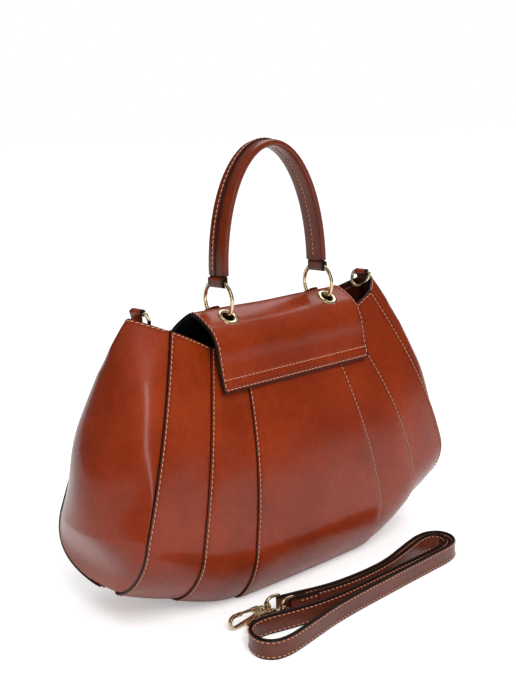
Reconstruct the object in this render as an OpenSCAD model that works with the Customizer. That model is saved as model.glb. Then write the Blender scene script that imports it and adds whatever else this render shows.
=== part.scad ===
/* [Body shell] */
// Distance of each seam from the middle at the mouth: middle, inner seam, outer seam, end seam
seam_mouth_x = [0, 54, 82, 122]; // [0:1:140]
// Distance of each seam from the middle at the belly
seam_belly_x = [0, 79.5, 133, 184]; // [0:1:200]
// Distance of each seam from the middle where it turns under the base
seam_foot_x = [0, 79, 132, 184]; // [0:1:200]
// Distance of each seam from the middle where it crosses the keel of the base
seam_keel_x = [0, 75, 131, 176]; // [0:1:200]
// How far each seam bows outwards between mouth and belly
seam_bow = [0, 0, 8, 4]; // [0:0.5:12]
// Half depth of the mouth at each seam
mouth_half_depth = [38, 35.5, 26, 23.5]; // [15:0.5:50]
// Height of the mouth edge at each seam
mouth_height = [200, 204, 221, 240]; // [180:1:260]
// Half depth of the belly at each seam
belly_half_depth = [71, 70, 66, 58.5]; // [40:0.5:90]
// Height of the fullest part of the belly at each seam
belly_height = [52, 54, 68, 85]; // [30:1:110]
// Half depth of the flat of the base at each seam
foot_half_depth = [40, 38.5, 20, 13]; // [5:0.5:60]
// Height of the base at each seam
foot_height = [0, 0, 10.5, 31]; // [0:0.5:50]
// How far the back mouth edge is tucked in under the flap at each seam
back_tuck = [8, 8, 8, 0]; // [0:0.5:12]
// How much fuller the back is than the front below the belly at each seam
back_fullness = [0, 0, 3, 10]; // [0:0.5:12]

/* [Leather] */
// Thickness of the panel leather
skin = 2; // [1.6:0.1:2.2]
// Width of the overlap at each seam
lap = 8; // [6:0.5:10]
// Gap left between glued layers
glue_gap = 0.08; // [0.05:0.01:0.1]
// Thickness of the lining
lining_skin = 1; // [0.8:0.1:1.5]

/* [Ends] */
// Distance of each ear's point from the middle
ear_x = 144.5; // [140:0.1:148]
// Height of each ear's point
ear_z = 251; // [245:0.5:255]
// Greatest swelling of the end panel past its seam
end_bulge = 33; // [20:0.5:36]
// How round the ear's point is, from sharp to blunt
ear_roundness = 0.5; // [0.3:0.05:0.8]

/* [Flap] */
// Width of the flap
flap_w = 178; // [170:1:182]
// Length of the root strip sewn to the back
root_drop = 34; // [25:1:38]

/* [Rings and eyelets] */
// Distance of each handle ring from the middle
ring_x = 60.5; // [60:0.1:61]
// Height of the ring centres
ring_z = 254; // [254:0.1:254.4]
// Depth position of the ring centres, towards the front
ring_y = -13; // [-13.2:0.1:-12.8]
// Radius of the ring at the middle of its wire
ring_r = 17; // [16.8:0.1:17.2]
// Radius of the ring wire
ring_wire_r = 1.75; // [1.5:0.05:1.9]
// Radius of the eyelet hole
eyelet_r = 5.3; // [5:0.1:5.6]
// Radius of the eyelet flange
eyelet_flange_r = 9.4; // [8.5:0.1:10]

/* [Handle] */
// Half width of the handle arch at the middle of its thickness
arch_half_w = 59; // [58.6:0.1:59.4]
// Height of the handle arch above its feet
arch_h = 107.2; // [90:0.1:120]
// Height of the handle's feet
arch_foot_z = 274.6; // [274.5:0.1:275]
// Width of the handle
handle_w = 22; // [20:0.5:24]
// Thickness of the handle
handle_t = 6.8; // [6.6:0.1:7.5]
// Width of the leather loops that hold the rings
loop_w = 18; // [16:0.5:19]

/* [Ear rings] */
// Distance of the ear ring's bar from the middle
dring_x = 135.7; // [135:0.1:136]
// Height of the ear ring's bar
dring_z = 253.5; // [253.3:0.1:254]
// Inside width of the ear ring
dring_w = 17.5; // [16.5:0.5:18]
// Radius of the ear ring wire
dring_wire_r = 1.5; // [1.3:0.05:1.6]

/* [Shoulder strap] */
// Width of the shoulder strap
strap_w = 17; // [15:0.5:18]
// Thickness of the shoulder strap
strap_t = 3.2; // [2.8:0.1:3.4]
// Length of the folded tabs at the strap's ends
tab_len = 24; // [20:1:28]
// Height of the folded tabs at the strap's ends
tab_w = 12.5; // [11:0.5:13]
// Width of the snap hooks
hook_w = 12.6; // [12:0.1:13]
// Length of the snap hooks from swivel to tip
hook_len = 38; // [34:1:40]

/* [Hidden] */

leather = [0.55, 0.2, 0.09];
leather_dark = [0.4, 0.2, 0.15];
lining_red = [0.3, 0.09, 0.06];
black_lining = [0.09, 0.08, 0.08];
gold = [0.85, 0.7, 0.45];
steel = [0.6, 0.6, 0.62];
board = [0.6, 0.55, 0.45];

// Seam stations run from the middle outwards as numbers 0 to 3, and the left side mirrors the right.
// Along a seam the place is 0 at the front mouth, 1 at the belly, 2 at the foot, 3 at the keel,
// and then 4, 5 and 6 up the back.
KEEL = 3;
LAST_SEAM = 3;

function bez3(a, b, c, d, t) = pow(1-t, 3)*a + 3*pow(1-t, 2)*t*b + 3*(1-t)*t*t*c + t*t*t*d;
function bez2(a, b, c, t) = pow(1-t, 2)*a + 2*(1-t)*t*b + t*t*c;
function unit(v) = v/norm(v);
function mix(a, b, t) = a + (b-a)*t;

// Upper stretch of a seam, from mouth to belly: leaves the mouth sloping and reaches the belly upright
function seam_upper(k, t) =
    let(d0 = mouth_half_depth[k], z0 = mouth_height[k], d1 = belly_half_depth[k], z1 = belly_height[k],
        x0 = seam_mouth_x[k], x1 = seam_belly_x[k])
    [bez2(x0, (x0+x1)/2 + seam_bow[k], x1, t),
     -bez3(d0, mix(d0, d1, 0.6), d1, d1, t),
     bez3(z0, mix(z0, z1, 0.33), mix(z1, z0, 0.37), z1, t)];
// Lower stretch, from belly to foot: leaves upright and lands level
function seam_lower(k, t) =
    let(d1 = belly_half_depth[k], z1 = belly_height[k], d2 = foot_half_depth[k], z2 = foot_height[k],
        x1 = seam_belly_x[k], x2 = seam_foot_x[k], ease = (x1-seam_mouth_x[k])/12)
    [bez3(x1, x1+ease, x2, x2, t),
     -bez3(d1, d1, mix(d2, d1, 0.22), d2, t),
     bez3(z1, mix(z1, z2, 0.59), z2, z2, t)];
// Flat stretch, from foot to keel
function seam_flat(k, t) =
    [mix(seam_foot_x[k], seam_keel_x[k], t*t*(3-2*t)), -foot_half_depth[k]*(1-t), foot_height[k]];
function seam_front(k, t) = t < 1 ? seam_upper(k, t) : t < 2 ? seam_lower(k, t-1) : seam_flat(k, t-2);
function tuck(k, t) = t > 5.2 ? back_tuck[k]*pow((t-5.2)/0.8, 2) : 0;
// The sag of the back swells and dies away again within 0.6 of a place between belly and foot
function sag(k, t) =
    let(h = abs(2*KEEL-t-1.42)/0.6) h < 1 ? back_fullness[k]*pow(cos(90*h), 2) : 0;
function seam_right(k, t) = t <= KEEL ? seam_front(k, t)
    : let(p = seam_front(k, 2*KEEL-t), f = sag(k, t)) [p[0], f-p[1]-tuck(k, t), p[2]-0.2*f];
function seam(k, t) = k >= 0 ? seam_right(k, t) : let(p = seam_right(-k, t)) [-p[0], p[1], p[2]];

// The body surface runs smoothly through all the seams
// The slope at a seam is the harmonic mean of its two neighbours' steps, so nothing overshoots
function calm(a, b) = a*b <= 0 ? 0 : 2*a*b/(a+b);
function seam_slope(k, t) = k == LAST_SEAM ? seam(k, t)-seam(k-1, t)
    : k == -LAST_SEAM ? seam(k+1, t)-seam(k, t)
    : let(a = seam(k, t)-seam(k-1, t), b = seam(k+1, t)-seam(k, t)) [for (i = [0:2]) calm(a[i], b[i])];
function body_point(s, t) =
    let(k = max(-LAST_SEAM, min(LAST_SEAM-1, floor(s))), h = s-k,
        p0 = seam(k, t), p1 = seam(k+1, t), m0 = seam_slope(k, t), m1 = seam_slope(k+1, t))
    p0*(2*pow(h, 3)-3*h*h+1) + m0*(pow(h, 3)-2*h*h+h) + p1*(3*h*h-2*pow(h, 3)) + m1*(pow(h, 3)-h*h);
function body_normal(s, t) =
    let(e = 0.02, a = min(s, LAST_SEAM-e), b = max(e, min(2*KEEL-e, t)),
        du = body_point(a+e, b)-body_point(a-e, b), dv = body_point(a, b+e)-body_point(a, b-e))
    unit(cross(du, -dv));
function body_skin(s, t, off) = body_point(s, t) + off*body_normal(s, t);
// Offset of the outer face of leather that lies under another piece
under = -(skin+glue_gap);
// Place of a line that runs a lap's width inside seam k, on the right side
function lap_in(k, t) = k - lap/norm(seam(k, t)-seam(k-1, t));

// The end panel swells past the end seam. Its section is a V with a round point at the mouth,
// turns into a half ellipse below it, and is a flat bow by the belly.
function swelling(t) = t > 1.5 ? 0
    : t < 0.12 ? bez2(ear_x-seam_mouth_x[3], end_bulge-3, end_bulge-1, t/0.12)
    : t < 0.6 ? mix(end_bulge-1, end_bulge-2, (t-0.12)/0.48)
    : (end_bulge-2)*pow(cos(90*(t-0.6)/0.9), 2);
function vee(s) = (sqrt(1+pow(ear_roundness, 2))-sqrt(s*s+pow(ear_roundness, 2)))
    /(sqrt(1+pow(ear_roundness, 2))-ear_roundness);
function ease(x) = let(c = max(0, min(1, x))) c*c*(3-2*c);
function end_section(a, t) =
    mix(mix(vee(sin(a)), cos(a), min(1, pow(t/0.25, 0.8))), pow(cos(a), 2), ease((t-0.5)/0.4));
function end_lift(t) = (ear_z-mouth_height[3])*pow(max(0, 1-t/0.5), 2);
function end_point(a, t) =
    let(s = sin(a), p = body_skin(LAST_SEAM, t, under), q = body_skin(LAST_SEAM, 2*KEEL-t, under),
        f = end_section(a, t), w = (1-s)/2)
    [mix(p[0], q[0], w) + swelling(t)*f, s*(s > 0 ? p[1] : -q[1]), mix(p[2], q[2], w) + end_lift(t)*f];
function end_normal(a, t) =
    let(e = 0.01, b = max(e, min(2.2, t)),
        du = end_point(a+1, b)-end_point(a-1, b), dv = end_point(a, b+e)-end_point(a, b-e))
    unit(cross(du, dv));
function end_skin(a, t, off) = end_point(a, t) + off*end_normal(a, t);

// Faces of a slab whose outer and inner sides are grids of rows and columns of points
function slab_faces(rows, cols) =
    let(n = rows*cols)
    concat(
        [for (i = [0:rows-2], j = [0:cols-2], h = [0, 1]) let(a = i*cols+j)
            h == 0 ? [a, a+1, a+cols+1] : [a, a+cols+1, a+cols]],
        [for (i = [0:rows-2], j = [0:cols-2], h = [0, 1]) let(a = n+i*cols+j)
            h == 0 ? [a, a+cols+1, a+1] : [a, a+cols, a+cols+1]],
        [for (j = [0:cols-2], h = [0, 1]) h == 0 ? [j, n+j, n+j+1] : [j, n+j+1, j+1]],
        [for (j = [0:cols-2], h = [0, 1]) let(a = (rows-1)*cols+j)
            h == 0 ? [a, n+a+1, n+a] : [a, a+1, n+a+1]],
        [for (i = [0:rows-2], h = [0, 1]) let(a = i*cols)
            h == 0 ? [a, n+a+cols, n+a] : [a, a+cols, n+a+cols]],
        [for (i = [0:rows-2], h = [0, 1]) let(a = i*cols+cols-1)
            h == 0 ? [a, n+a, n+a+cols] : [a, n+a+cols, a+cols]]);
module slab(outer, inner) {
    polyhedron([for (row = outer) for (p = row) p, for (row = inner) for (p = row) p],
        slab_faces(len(outer), len(outer[0])));
}

half_rows = [0, 0.15, 0.35, 0.55, 0.8, 1, 1.2, 1.4, 1.6, 1.8, 2, 2.5];
wrap_rows = concat(half_rows, [KEEL], [for (i = [len(half_rows)-1:-1:0]) 2*KEEL-half_rows[i]]);

// One strip that runs down the front, under the base and up the back.
// Each column is [seam number, true for the lap line inside it, place past the seam, offset]
module wrap_strip(columns) {
    function place(c, t) = c[1] ? sign(c[0])*lap_in(abs(c[0]), t) : c[0]+c[2];
    outer = [for (t = wrap_rows) [for (c = columns) body_skin(place(c, t), t, c[3])]];
    inner = [for (t = wrap_rows) [for (c = columns) body_skin(place(c, t), t, c[3]-skin)]];
    slab(outer, inner);
}
function side_columns(k) = [[k, true, 0, under], [k, false, 0, under], [k, false, 0.5, under/2],
    [k+1, true, 0, 0], [k+1, false, 0, 0]];
module centre_panel() {
    color(leather) wrap_strip([[-1, false, 0, 0], [-1, true, 0, 0], [0, false, -0.45, 0], [0, false, 0, 0],
        [0, false, 0.45, 0], [1, true, 0, 0], [1, false, 0, 0]]);
}
module inner_panel() { color(leather) wrap_strip(side_columns(1)); }
module outer_panel() { color(leather) wrap_strip(side_columns(2)); }

end_angles = [76, 50, 25, 0, -25, -50, -76];
end_rows = concat(half_rows, [2.8]);
module gusset() {
    function row(t, off) = concat(
        [body_skin(lap_in(LAST_SEAM, t), t, under+off), body_skin(LAST_SEAM, t, under+off)],
        [for (a = end_angles) end_skin(a, t, off)],
        [let(q = 2*KEEL-t) body_skin(LAST_SEAM, q, under+off),
         let(q = 2*KEEL-t) body_skin(lap_in(LAST_SEAM, q), q, under+off)]);
    color(leather) slab([for (t = end_rows) row(t, 0)], [for (t = end_rows) row(t, -skin)]);
}

// The lining is one bag inside the panels: rings from the mouth down, closed along the keel
lining_places = [-2.8, -2.3, -1.7, -1, -0.5, 0, 0.5, 1, 1.7, 2.3, 2.8];
lining_angles = [50, 25, -25, -50];
lining_rows = [0.02, 0.15, 0.35, 0.55, 0.8, 1, 1.2, 1.4, 1.6, 1.8, 2, 2.5];
module lining() {
    off = -(2*skin+2*glue_gap+0.9);
    function end_place(a, t, o) = mix(end_skin(a, t, o+1), end_point(a, t) + [o-7, 0, 3-o], ease((t-1)/0.5));
    function ring(t, o) = concat(
        [for (s = lining_places) body_skin(s, t, o)],
        [for (a = lining_angles) end_place(a, t, o)],
        [for (i = [len(lining_places)-1:-1:0]) body_skin(lining_places[i], 2*KEEL-t, o)],
        [for (i = [len(lining_angles)-1:-1:0])
            let(p = end_place(lining_angles[i], t, o)) [-p[0], p[1], p[2]]]);
    outer = [for (t = lining_rows) ring(t, off)];
    inner = [for (t = lining_rows) ring(t, off-lining_skin)];
    n = len(outer[0]);
    rows = len(outer);
    total = n*rows;
    m = len(lining_places);
    q = len(lining_angles);
    // Point of the last ring that lies across the keel from point j
    function across(j) = m+q+m-1-j;
    wall = [for (i = [0:rows-2], j = [0:n-1], h = [0, 1]) let(a = i*n+j, b = i*n+(j+1)%n)
        h == 0 ? [a, b, b+n] : [a, b+n, a+n]];
    function turned(f) = [f[0]+total, f[2]+total, f[1]+total];
    rim = [for (j = [0:n-1], h = [0, 1]) let(k = (j+1)%n) h == 0 ? [j, total+j, total+k] : [j, total+k, k]];
    base = (rows-1)*n;
    floor_strip = [for (j = [0:m-2], h = [0, 1])
        h == 0 ? [base+j, base+j+1, base+across(j+1)] : [base+j, base+across(j+1), base+across(j)]];
    right_end = [for (i = [0:q-1]) [base+m-1, base+m+i, base+m+i+1]];
    left_first = m+q+m;
    left_end = [for (i = [0:q-1]) [base+across(0), base+left_first+i, base+(left_first+i+1)%n]];
    faces = concat(wall, floor_strip, right_end, left_end);
    color(lining_red) polyhedron([for (r = outer) for (p = r) p, for (r = inner) for (p = r) p],
        concat(faces, [for (f = faces) turned(f)], rim));
}

// A stiff board lies on the lining along the flat of the base
board_l = 150;
board_d = 60;
board_t = 2.4;
board_z = 6.4;
module base_board() {
    r = 12;
    color(board) translate([0, 0, board_z]) linear_extrude(board_t) union() {
        square([board_l-2*r, board_d], center = true);
        square([board_l, board_d-2*r], center = true);
        for (x = [-1, 1], y = [-1, 1]) translate([x*(board_l/2-r), y*(board_d/2-r)]) circle(r, $fn = 48);
    }
}

// The flap's back end is sewn to the outside of the back panel, as a strip with straight edges.
// Its points are found on the body surface from their distance along the bag and their height.
function next_place(s, t, x, z) =
    let(e = 0.01, p = body_point(s, t), gs = (body_point(s+e, t)-p)/e, gt = (body_point(s, t-e)-p)/-e,
        det = gs[0]*gt[2]-gt[0]*gs[2], dx = x-p[0], dz = z-p[2])
    [s+(dx*gt[2]-dz*gt[0])/det, min(2*KEEL-0.001, t+(gs[0]*dz-gs[2]*dx)/det)];
function place_of(x, z, s, t, left = 6) =
    left == 0 ? [s, t] : let(q = next_place(s, t, x, z)) place_of(x, z, q[0], q[1], left-1);
root_top = 201.5;
module flap_root() {
    xs = [for (i = [-4:4]) i*flap_w/8];
    heights = [root_top, root_top-root_drop/3, root_top-2*root_drop/3, root_top-root_drop];
    places = [for (z = heights) [for (i = [len(xs)-1:-1:0]) place_of(xs[i], z, xs[i]/50, 5.75)]];
    color(leather) slab([for (r = places) [for (q = r) body_skin(q[0], q[1], skin+0.2)]],
        [for (r = places) [for (q = r) body_skin(q[0], q[1], 0.2)]]);
}

// Section of the flap's outer face from the back hinge over the crest to the front edge, as [y, z]
flap_line = [[32.8, 204.4], [31.4, 212.8], [25.5, 222.5], [14, 233], [4, 240.3], [-6, 246], [-12.5, 247],
    [-23, 242], [-34, 234], [-41, 222], [-43.8, 206], [-46, 195], [-48.6, 184]];
function spline_at(p, i, h) =
    let(n = len(p)-1, a = p[max(0, i-1)], b = p[i], c = p[i+1], d = p[min(n, i+2)])
    0.5*(2*b + (c-a)*h + (2*a-5*b+4*c-d)*h*h + (3*b-a-3*c+d)*pow(h, 3));
function smooth_line(p, steps) = concat(
    [for (i = [0:len(p)-2], j = [0:steps-1]) spline_at(p, i, j/steps)], [p[len(p)-1]]);
function line_normal(p, i) =
    let(d = unit(p[min(len(p)-1, i+1)]-p[max(0, i-1)])) [d[1], -d[0]];
function shifted(p, off) = [for (i = [0:len(p)-1]) p[i]+off*line_normal(p, i)];
function band_outline(p, near, far) =
    let(a = shifted(p, near), b = shifted(p, far)) concat(a, [for (i = [len(b)-1:-1:0]) b[i]]);
module along_x(w) {
    rotate([90, 0, 90]) translate([0, 0, -w/2]) linear_extrude(w) children();
}
flap_skin = 2;
flap_back = 1.2;
flap_curve = smooth_line(flap_line, 3);
// Each eyelet as [y, z of its middle on the flap's outer face, lean of its axis forwards]
eyelet_seats = [[-24.6, 241.15, 35.2], [-1.1, 243.55, -33.6]];
module at_eyelets() {
    for (x = [-ring_x, ring_x], e = eyelet_seats) translate([x, e[0], e[1]]) rotate([e[2], 0, 0]) children();
}
eyelet_barrel_r = eyelet_r+0.6;
module eyelet_holes() {
    at_eyelets() translate([0, 0, -8]) cylinder(r = eyelet_barrel_r+0.05, h = 12, $fn = 48);
}
module flap() {
    color(leather) difference() {
        along_x(flap_w) polygon(band_outline(flap_curve, 0, -flap_skin));
        eyelet_holes();
    }
}
// The magnet sits inside the flap's lining near its front edge
magnet_r = 7;
magnet_t = 1.1;
// Place of the magnet's middle as [y, z, lean of its axis]
flap_magnet_seat = [-43.78, 193, 77.2];
module at_flap_magnet() {
    translate([0, flap_magnet_seat[0], flap_magnet_seat[1]]) rotate([flap_magnet_seat[2], 0, 0]) children();
}
module flap_lining() {
    color(black_lining) difference() {
        along_x(flap_w-1) polygon(band_outline(flap_curve, -flap_skin-0.04, -flap_skin-0.04-flap_back));
        eyelet_holes();
        at_flap_magnet() translate([0, 0, -4]) cylinder(r = magnet_r+0.1, h = 8, $fn = 48);
    }
}
module flap_magnet() {
    color(steel) at_flap_magnet() translate([0, 0, -magnet_t/2]) cylinder(r = magnet_r, h = magnet_t, $fn = 48);
}
module body_magnet() {
    color(steel) translate([0, -38.72, 189]) rotate([68.6, 0, 0]) translate([0, 0, -0.9])
        cylinder(r = magnet_r+1, h = 1.8, $fn = 48);
}
// The washers lie under the curve of the flap's lining, this far below its outer face
washer_depth = flap_skin+flap_back+2.2;
module eyelets() {
    color(gold) at_eyelets() rotate_extrude($fn = 64) union() {
        translate([eyelet_r, -washer_depth]) square([0.6, washer_depth+0.4]);
        translate([eyelet_r, 0.3]) square([eyelet_flange_r-eyelet_r-0.5, 0.55]);
        translate([eyelet_flange_r-0.5, 0.3]) intersection() {
            circle(0.55, $fn = 24);
            square(1);
        }
    }
}
module eyelet_washers() {
    color(gold) at_eyelets() translate([0, 0, -washer_depth]) rotate_extrude($fn = 64)
        translate([eyelet_barrel_r+0.04, 0]) square([1.6, 0.6]);
}

module handle_ring() {
    color(gold) translate([ring_x, ring_y, ring_z]) rotate([0, 90, 0])
        rotate_extrude($fn = 96) translate([ring_r, 0]) circle(ring_wire_r, $fn = 32);
}

// The handle is a padded band bent into a half ellipse. Its section is a flat oval.
function arch_point(a) = [-arch_half_w*cos(a), ring_y, arch_foot_z+arch_h*sin(a)];
function arch_out(a) = unit([-cos(a)/arch_half_w, 0, sin(a)/arch_h]);
function oval(w, t, p, n) = [for (i = [0:n-1]) let(a = 360*i/n, c = cos(a), s = sin(a))
    [w/2*sign(c)*pow(abs(c), p), t/2*sign(s)*pow(abs(s), p)]];
function arch_ring(a, w, t, n) = [for (q = oval(w, t, 0.6, n)) arch_point(a)+[0, q[0], 0]+q[1]*arch_out(a)];
arch_angles = [for (i = [0:24]) 90-90*sign(12-i)*pow(abs(12-i)/12, 1.15)];
function tube_walls(rows, n, start, flip) = [for (i = [0:rows-2], j = [0:n-1], h = [0, 1])
    let(a = start+i*n+j, b = start+i*n+(j+1)%n, f = h == 0 ? [a, b, b+n] : [a, b+n, a+n])
    flip ? [f[0], f[2], f[1]] : f];
module handle_cover() {
    n = 16;
    rows = len(arch_angles);
    wall = 1.5;
    outer = [for (a = arch_angles) arch_ring(a, handle_w, handle_t, n)];
    inner = [for (a = arch_angles) arch_ring(a, handle_w-2*wall, handle_t-2*wall, n)];
    half = rows*n;
    function end_faces(i, flip) = [for (j = [0:n-1], h = [0, 1])
        let(a = i*n+j, b = i*n+(j+1)%n, f = h == 0 ? [a, half+a, half+b] : [a, half+b, b])
        flip ? [f[0], f[2], f[1]] : f];
    color(leather) polyhedron([for (r = outer) for (p = r) p, for (r = inner) for (p = r) p],
        concat(tube_walls(rows, n, 0, true), tube_walls(rows, n, half, false),
            end_faces(0, true), end_faces(rows-1, false)));
}
module handle_core() {
    n = 12;
    core_angles = [for (a = arch_angles) if (a > 9.5 && a < 170.5) a];
    rows = len(core_angles);
    last = (rows-1)*n;
    color(board) polyhedron(
        [for (a = core_angles) for (p = arch_ring(a, handle_w-3.5, handle_t-3.4, n)) p],
        concat(tube_walls(rows, n, 0, true), [[for (j = [0:n-1]) j]], [[for (j = [n-1:-1:0]) last+j]]));
}
// A strip of leather goes down round the ring as a loose loop and its two ends go up inside the handle
module handle_loop() {
    leaf = 1.3;
    r_in = ring_wire_r+0.45;
    bottom_z = 268.2;
    neck_z = 272.8;
    tongue = 10;
    tongue_w = 14;
    lean = arch_half_w-0.1-ring_x;
    color(leather) translate([ring_x, ring_y, 0]) rotate([90, 0, 0]) {
        linear_extrude(loop_w, center = true) {
            translate([0, bottom_z]) difference() {
                circle(r_in+leaf, $fn = 48);
                circle(r_in, $fn = 48);
                translate([-10, 0]) square([20, 10]);
            }
            for (m = [-1, 1]) polygon([[m*r_in, bottom_z], [m*r_in, neck_z-0.4], [lean-m*0.2, arch_foot_z-0.5],
                [lean-m*0.2, arch_foot_z], [lean+m*leaf, arch_foot_z], [m*(r_in+leaf), neck_z],
                [m*(r_in+leaf), bottom_z]]);
        }
        linear_extrude(tongue_w, center = true)
            translate([lean-leaf+0.1, arch_foot_z-0.3]) square([2*leaf-0.2, tongue]);
    }
}

// An ear ring hangs from a rolled leather tab whose tail is sewn down the inside of the ear.
// The ring leans inwards, because it rests on the two walls of the ear.
dring_lean = 27;
module ear_ring() {
    bar = dring_w+2*dring_wire_r;
    leg = 4;
    bow_r = bar/2;
    color(gold) translate([dring_x, 0, dring_z]) rotate([0, dring_lean, 0]) {
        rotate([90, 0, 0]) cylinder(r = dring_wire_r, h = bar, center = true, $fn = 32);
        for (y = [-1, 1]) translate([0, y*bar/2, 0]) {
            sphere(dring_wire_r, $fn = 32);
            translate([0, 0, -leg]) cylinder(r = dring_wire_r, h = leg, $fn = 32);
        }
        translate([0, 0, -leg]) rotate([0, 90, 0]) rotate([0, 0, -90]) rotate_extrude(angle = 180, $fn = 64)
            translate([bow_r, 0]) circle(dring_wire_r, $fn = 32);
    }
}
module ear_ring_tab() {
    roll_w = 14.5;
    tail_w = 10;
    leaf = 1.5;
    r_in = dring_wire_r+0.15;
    r_out = r_in+leaf;
    color(leather) translate([dring_x, 0, dring_z]) rotate([90, 0, 0]) {
        linear_extrude(roll_w, center = true) difference() {
            circle(r_out, $fn = 48);
            circle(r_in, $fn = 48);
        }
        linear_extrude(tail_w, center = true) polygon([[1.6, -2.5], [1.4, -5.5], [3.5, -9.5], [5.6, -14],
            [9.3, -21], [7.9, -21.6], [4.1, -14.5], [2, -10], [-0.1, -6], [0, -2.9]]);
    }
}

// Middle line of the shoulder strap as it lies, standing on its edge: from tab a round the far turn,
// along the front to the near turn, back round the far turn inside the first run, and home to tab b
strap_route = [[-72, -90.5], [-57, -95], [-40, -100.5], [-24, -104], [-6, -106], [14, -106.8], [32, -106], [50, -103.3],
    [70, -98.2], [90, -93.2], [106, -90.4], [118, -91.6], [126, -97.5], [128, -106.5], [124.5, -116], [116, -122.8],
    [102, -126], [80, -127.2], [48, -128.6], [12, -130.6], [-24, -132.6], [-56, -135.6], [-80, -139.6],
    [-100, -143.2], [-118, -145.6], [-131, -143.6], [-137.6, -136], [-137.6, -126], [-132.6, -116], [-123, -109],
    [-110, -108.3], [-96, -112], [-80, -116.3], [-60, -120.6], [-36, -123], [-8, -123.2], [24, -122.6], [56, -122],
    [84, -121.6], [102, -120.4], [114, -116], [120.5, -108], [119.5, -100.5], [112, -96.2], [100, -96.6],
    [82, -100.8], [62, -105.6], [40, -109.8], [18, -111.8], [-6, -111.8], [-26, -109.6], [-46, -105.8], [-66, -101.5]];
strap_curve = smooth_line(strap_route, 2);
module strap_band() {
    n = len(strap_curve);
    left = shifted(strap_curve, strap_t/2);
    right = shifted(strap_curve, -strap_t/2);
    pts = [for (i = [0:n-1]) for (q = [[left[i], 0], [right[i], 0], [right[i], strap_w], [left[i], strap_w]])
        [q[0][0], q[0][1], q[1]]];
    color(leather_dark) polyhedron(pts, concat(tube_walls(n, 4, 0, true), [[0, 1, 2, 3]],
        [[4*n-1, 4*n-2, 4*n-3, 4*n-4]]));
}
// Each strap end as [x, y of the band's end, direction it points in]
end_a = [-72, -90.5, 163];
end_b = [-66, -101.5, 168];
tab_z = 9.6;
bow_wire_r = 1.4;
bar_out = 3.4;
module at_end(e) { translate([e[0], e[1], tab_z]) rotate([0, 0, e[2]]) children(); }
// A leather tab folds round the bow's bar and is sewn to both faces of the strap
module strap_tab(e) {
    leaf = 1.3;
    r_in = bow_wire_r+0.15;
    side = strap_t/2+0.15;
    color(leather_dark) at_end(e) translate([0, 0, -tab_w/2]) linear_extrude(tab_w) {
        translate([bar_out, 0]) difference() {
            circle(r_in+leaf, $fn = 48);
            circle(r_in, $fn = 48);
            translate([-10, -10]) square([10, 20]);
        }
        for (m = [0, 1]) mirror([0, m]) polygon([[bar_out, r_in], [0.3, r_in], [0.1, side], [-tab_len+bar_out, side],
            [-tab_len+bar_out, side+leaf], [0.1, side+leaf], [bar_out, r_in+leaf]]);
    }
}
// The bow is a wire D whose straight bar the tab holds and whose round end carries the swivel hub
bow_leg = 5;
bow_r = tab_w/2+0.5+bow_wire_r;
hub_in = 2.5;
hub_out = 3.8;
hub_x = bow_leg+bow_r-1.6;
hub_len = 2.6;
module bow(e) {
    color(gold) at_end(e) translate([bar_out, 0, 0]) difference() {
        union() {
            cylinder(r = bow_wire_r, h = 2*bow_r, center = true, $fn = 32);
            for (z = [-1, 1]) translate([0, 0, z*bow_r]) {
                sphere(bow_wire_r, $fn = 32);
                rotate([0, 90, 0]) cylinder(r = bow_wire_r, h = bow_leg, $fn = 32);
            }
            translate([bow_leg, 0, 0]) rotate([90, 0, 0]) rotate([0, 0, -90]) rotate_extrude(angle = 180, $fn = 64)
                translate([bow_r, 0]) circle(bow_wire_r, $fn = 32);
            translate([hub_x, 0, 0]) rotate([0, 90, 0]) cylinder(r = hub_out, h = hub_len, $fn = 32);
        }
        translate([hub_x-2, 0, 0]) rotate([0, 90, 0]) cylinder(r = hub_in, h = hub_len+4, $fn = 32);
    }
}

// Outline round two circles on one line, the near one of radius r1 at x1 and the far one of radius r2 at x2
function pear(r1, x1, r2, x2) =
    let(lean = acos((r1-r2)/(x2-x1)), steps = 12)
    concat([for (i = [0:steps]) let(a = lean-2*lean*i/steps) [x2+r2*cos(a), r2*sin(a)]],
        [for (i = [0:steps]) let(a = -lean-(360-2*lean)*i/steps) [x1+r1*cos(a), r1*sin(a)]]);
// Each hook as the end that carries it and its turn and dip from the bow's own line
hook_a_set = [end_a, 12, 5.2];
hook_b_set = [end_b, 12, 5.2];
hook_t = 3.2;
post_r = 1.4;
gate_t = 1.3;
pivot = [10.6, 3.1];
tip_r = hook_w/2;
module at_hook(s) {
    at_end(s[0]) translate([bar_out+hub_x+hub_len/2, 0, 0]) rotate([0, s[2], s[1]]) rotate([90, 0, 0]) children();
}
module hook_rim() {
    difference() {
        polygon(pear(4.6, 9.5, tip_r, hook_len-tip_r));
        polygon(pear(1.9, 14, tip_r-2.5, hook_len-tip_r));
    }
}
module hook(s) {
    color(gold) at_hook(s) difference() {
        union() {
            rotate([0, 90, 0]) translate([0, 0, -hub_len/2-2.4]) cylinder(r = 3.4, h = 1.4, $fn = 32);
            rotate([0, 90, 0]) translate([0, 0, -hub_len/2-1.2]) cylinder(r = post_r, h = 6, $fn = 32);
            rotate([0, 90, 0]) translate([0, 0, hub_len/2+1.1]) cylinder(r = 3, h = 4.5, $fn = 32);
            translate([0, 0, -hook_t/2]) linear_extrude(hook_t) hook_rim();
        }
        translate([pivot[0]-2.4, 0.9, -gate_t/2-0.15]) cube([20, 9, gate_t+0.3]);
        translate([13.6, 1.2, -5]) cube([11.6, 9, 10]);
        translate([pivot[0], pivot[1], -5]) cylinder(r = 0.8, h = 10, $fn = 24);
    }
}
module hook_pins(s) {
    color(gold) at_hook(s) translate([pivot[0], pivot[1], -hook_t/2]) cylinder(r = 0.8, h = hook_t, $fn = 24);
}
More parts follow.
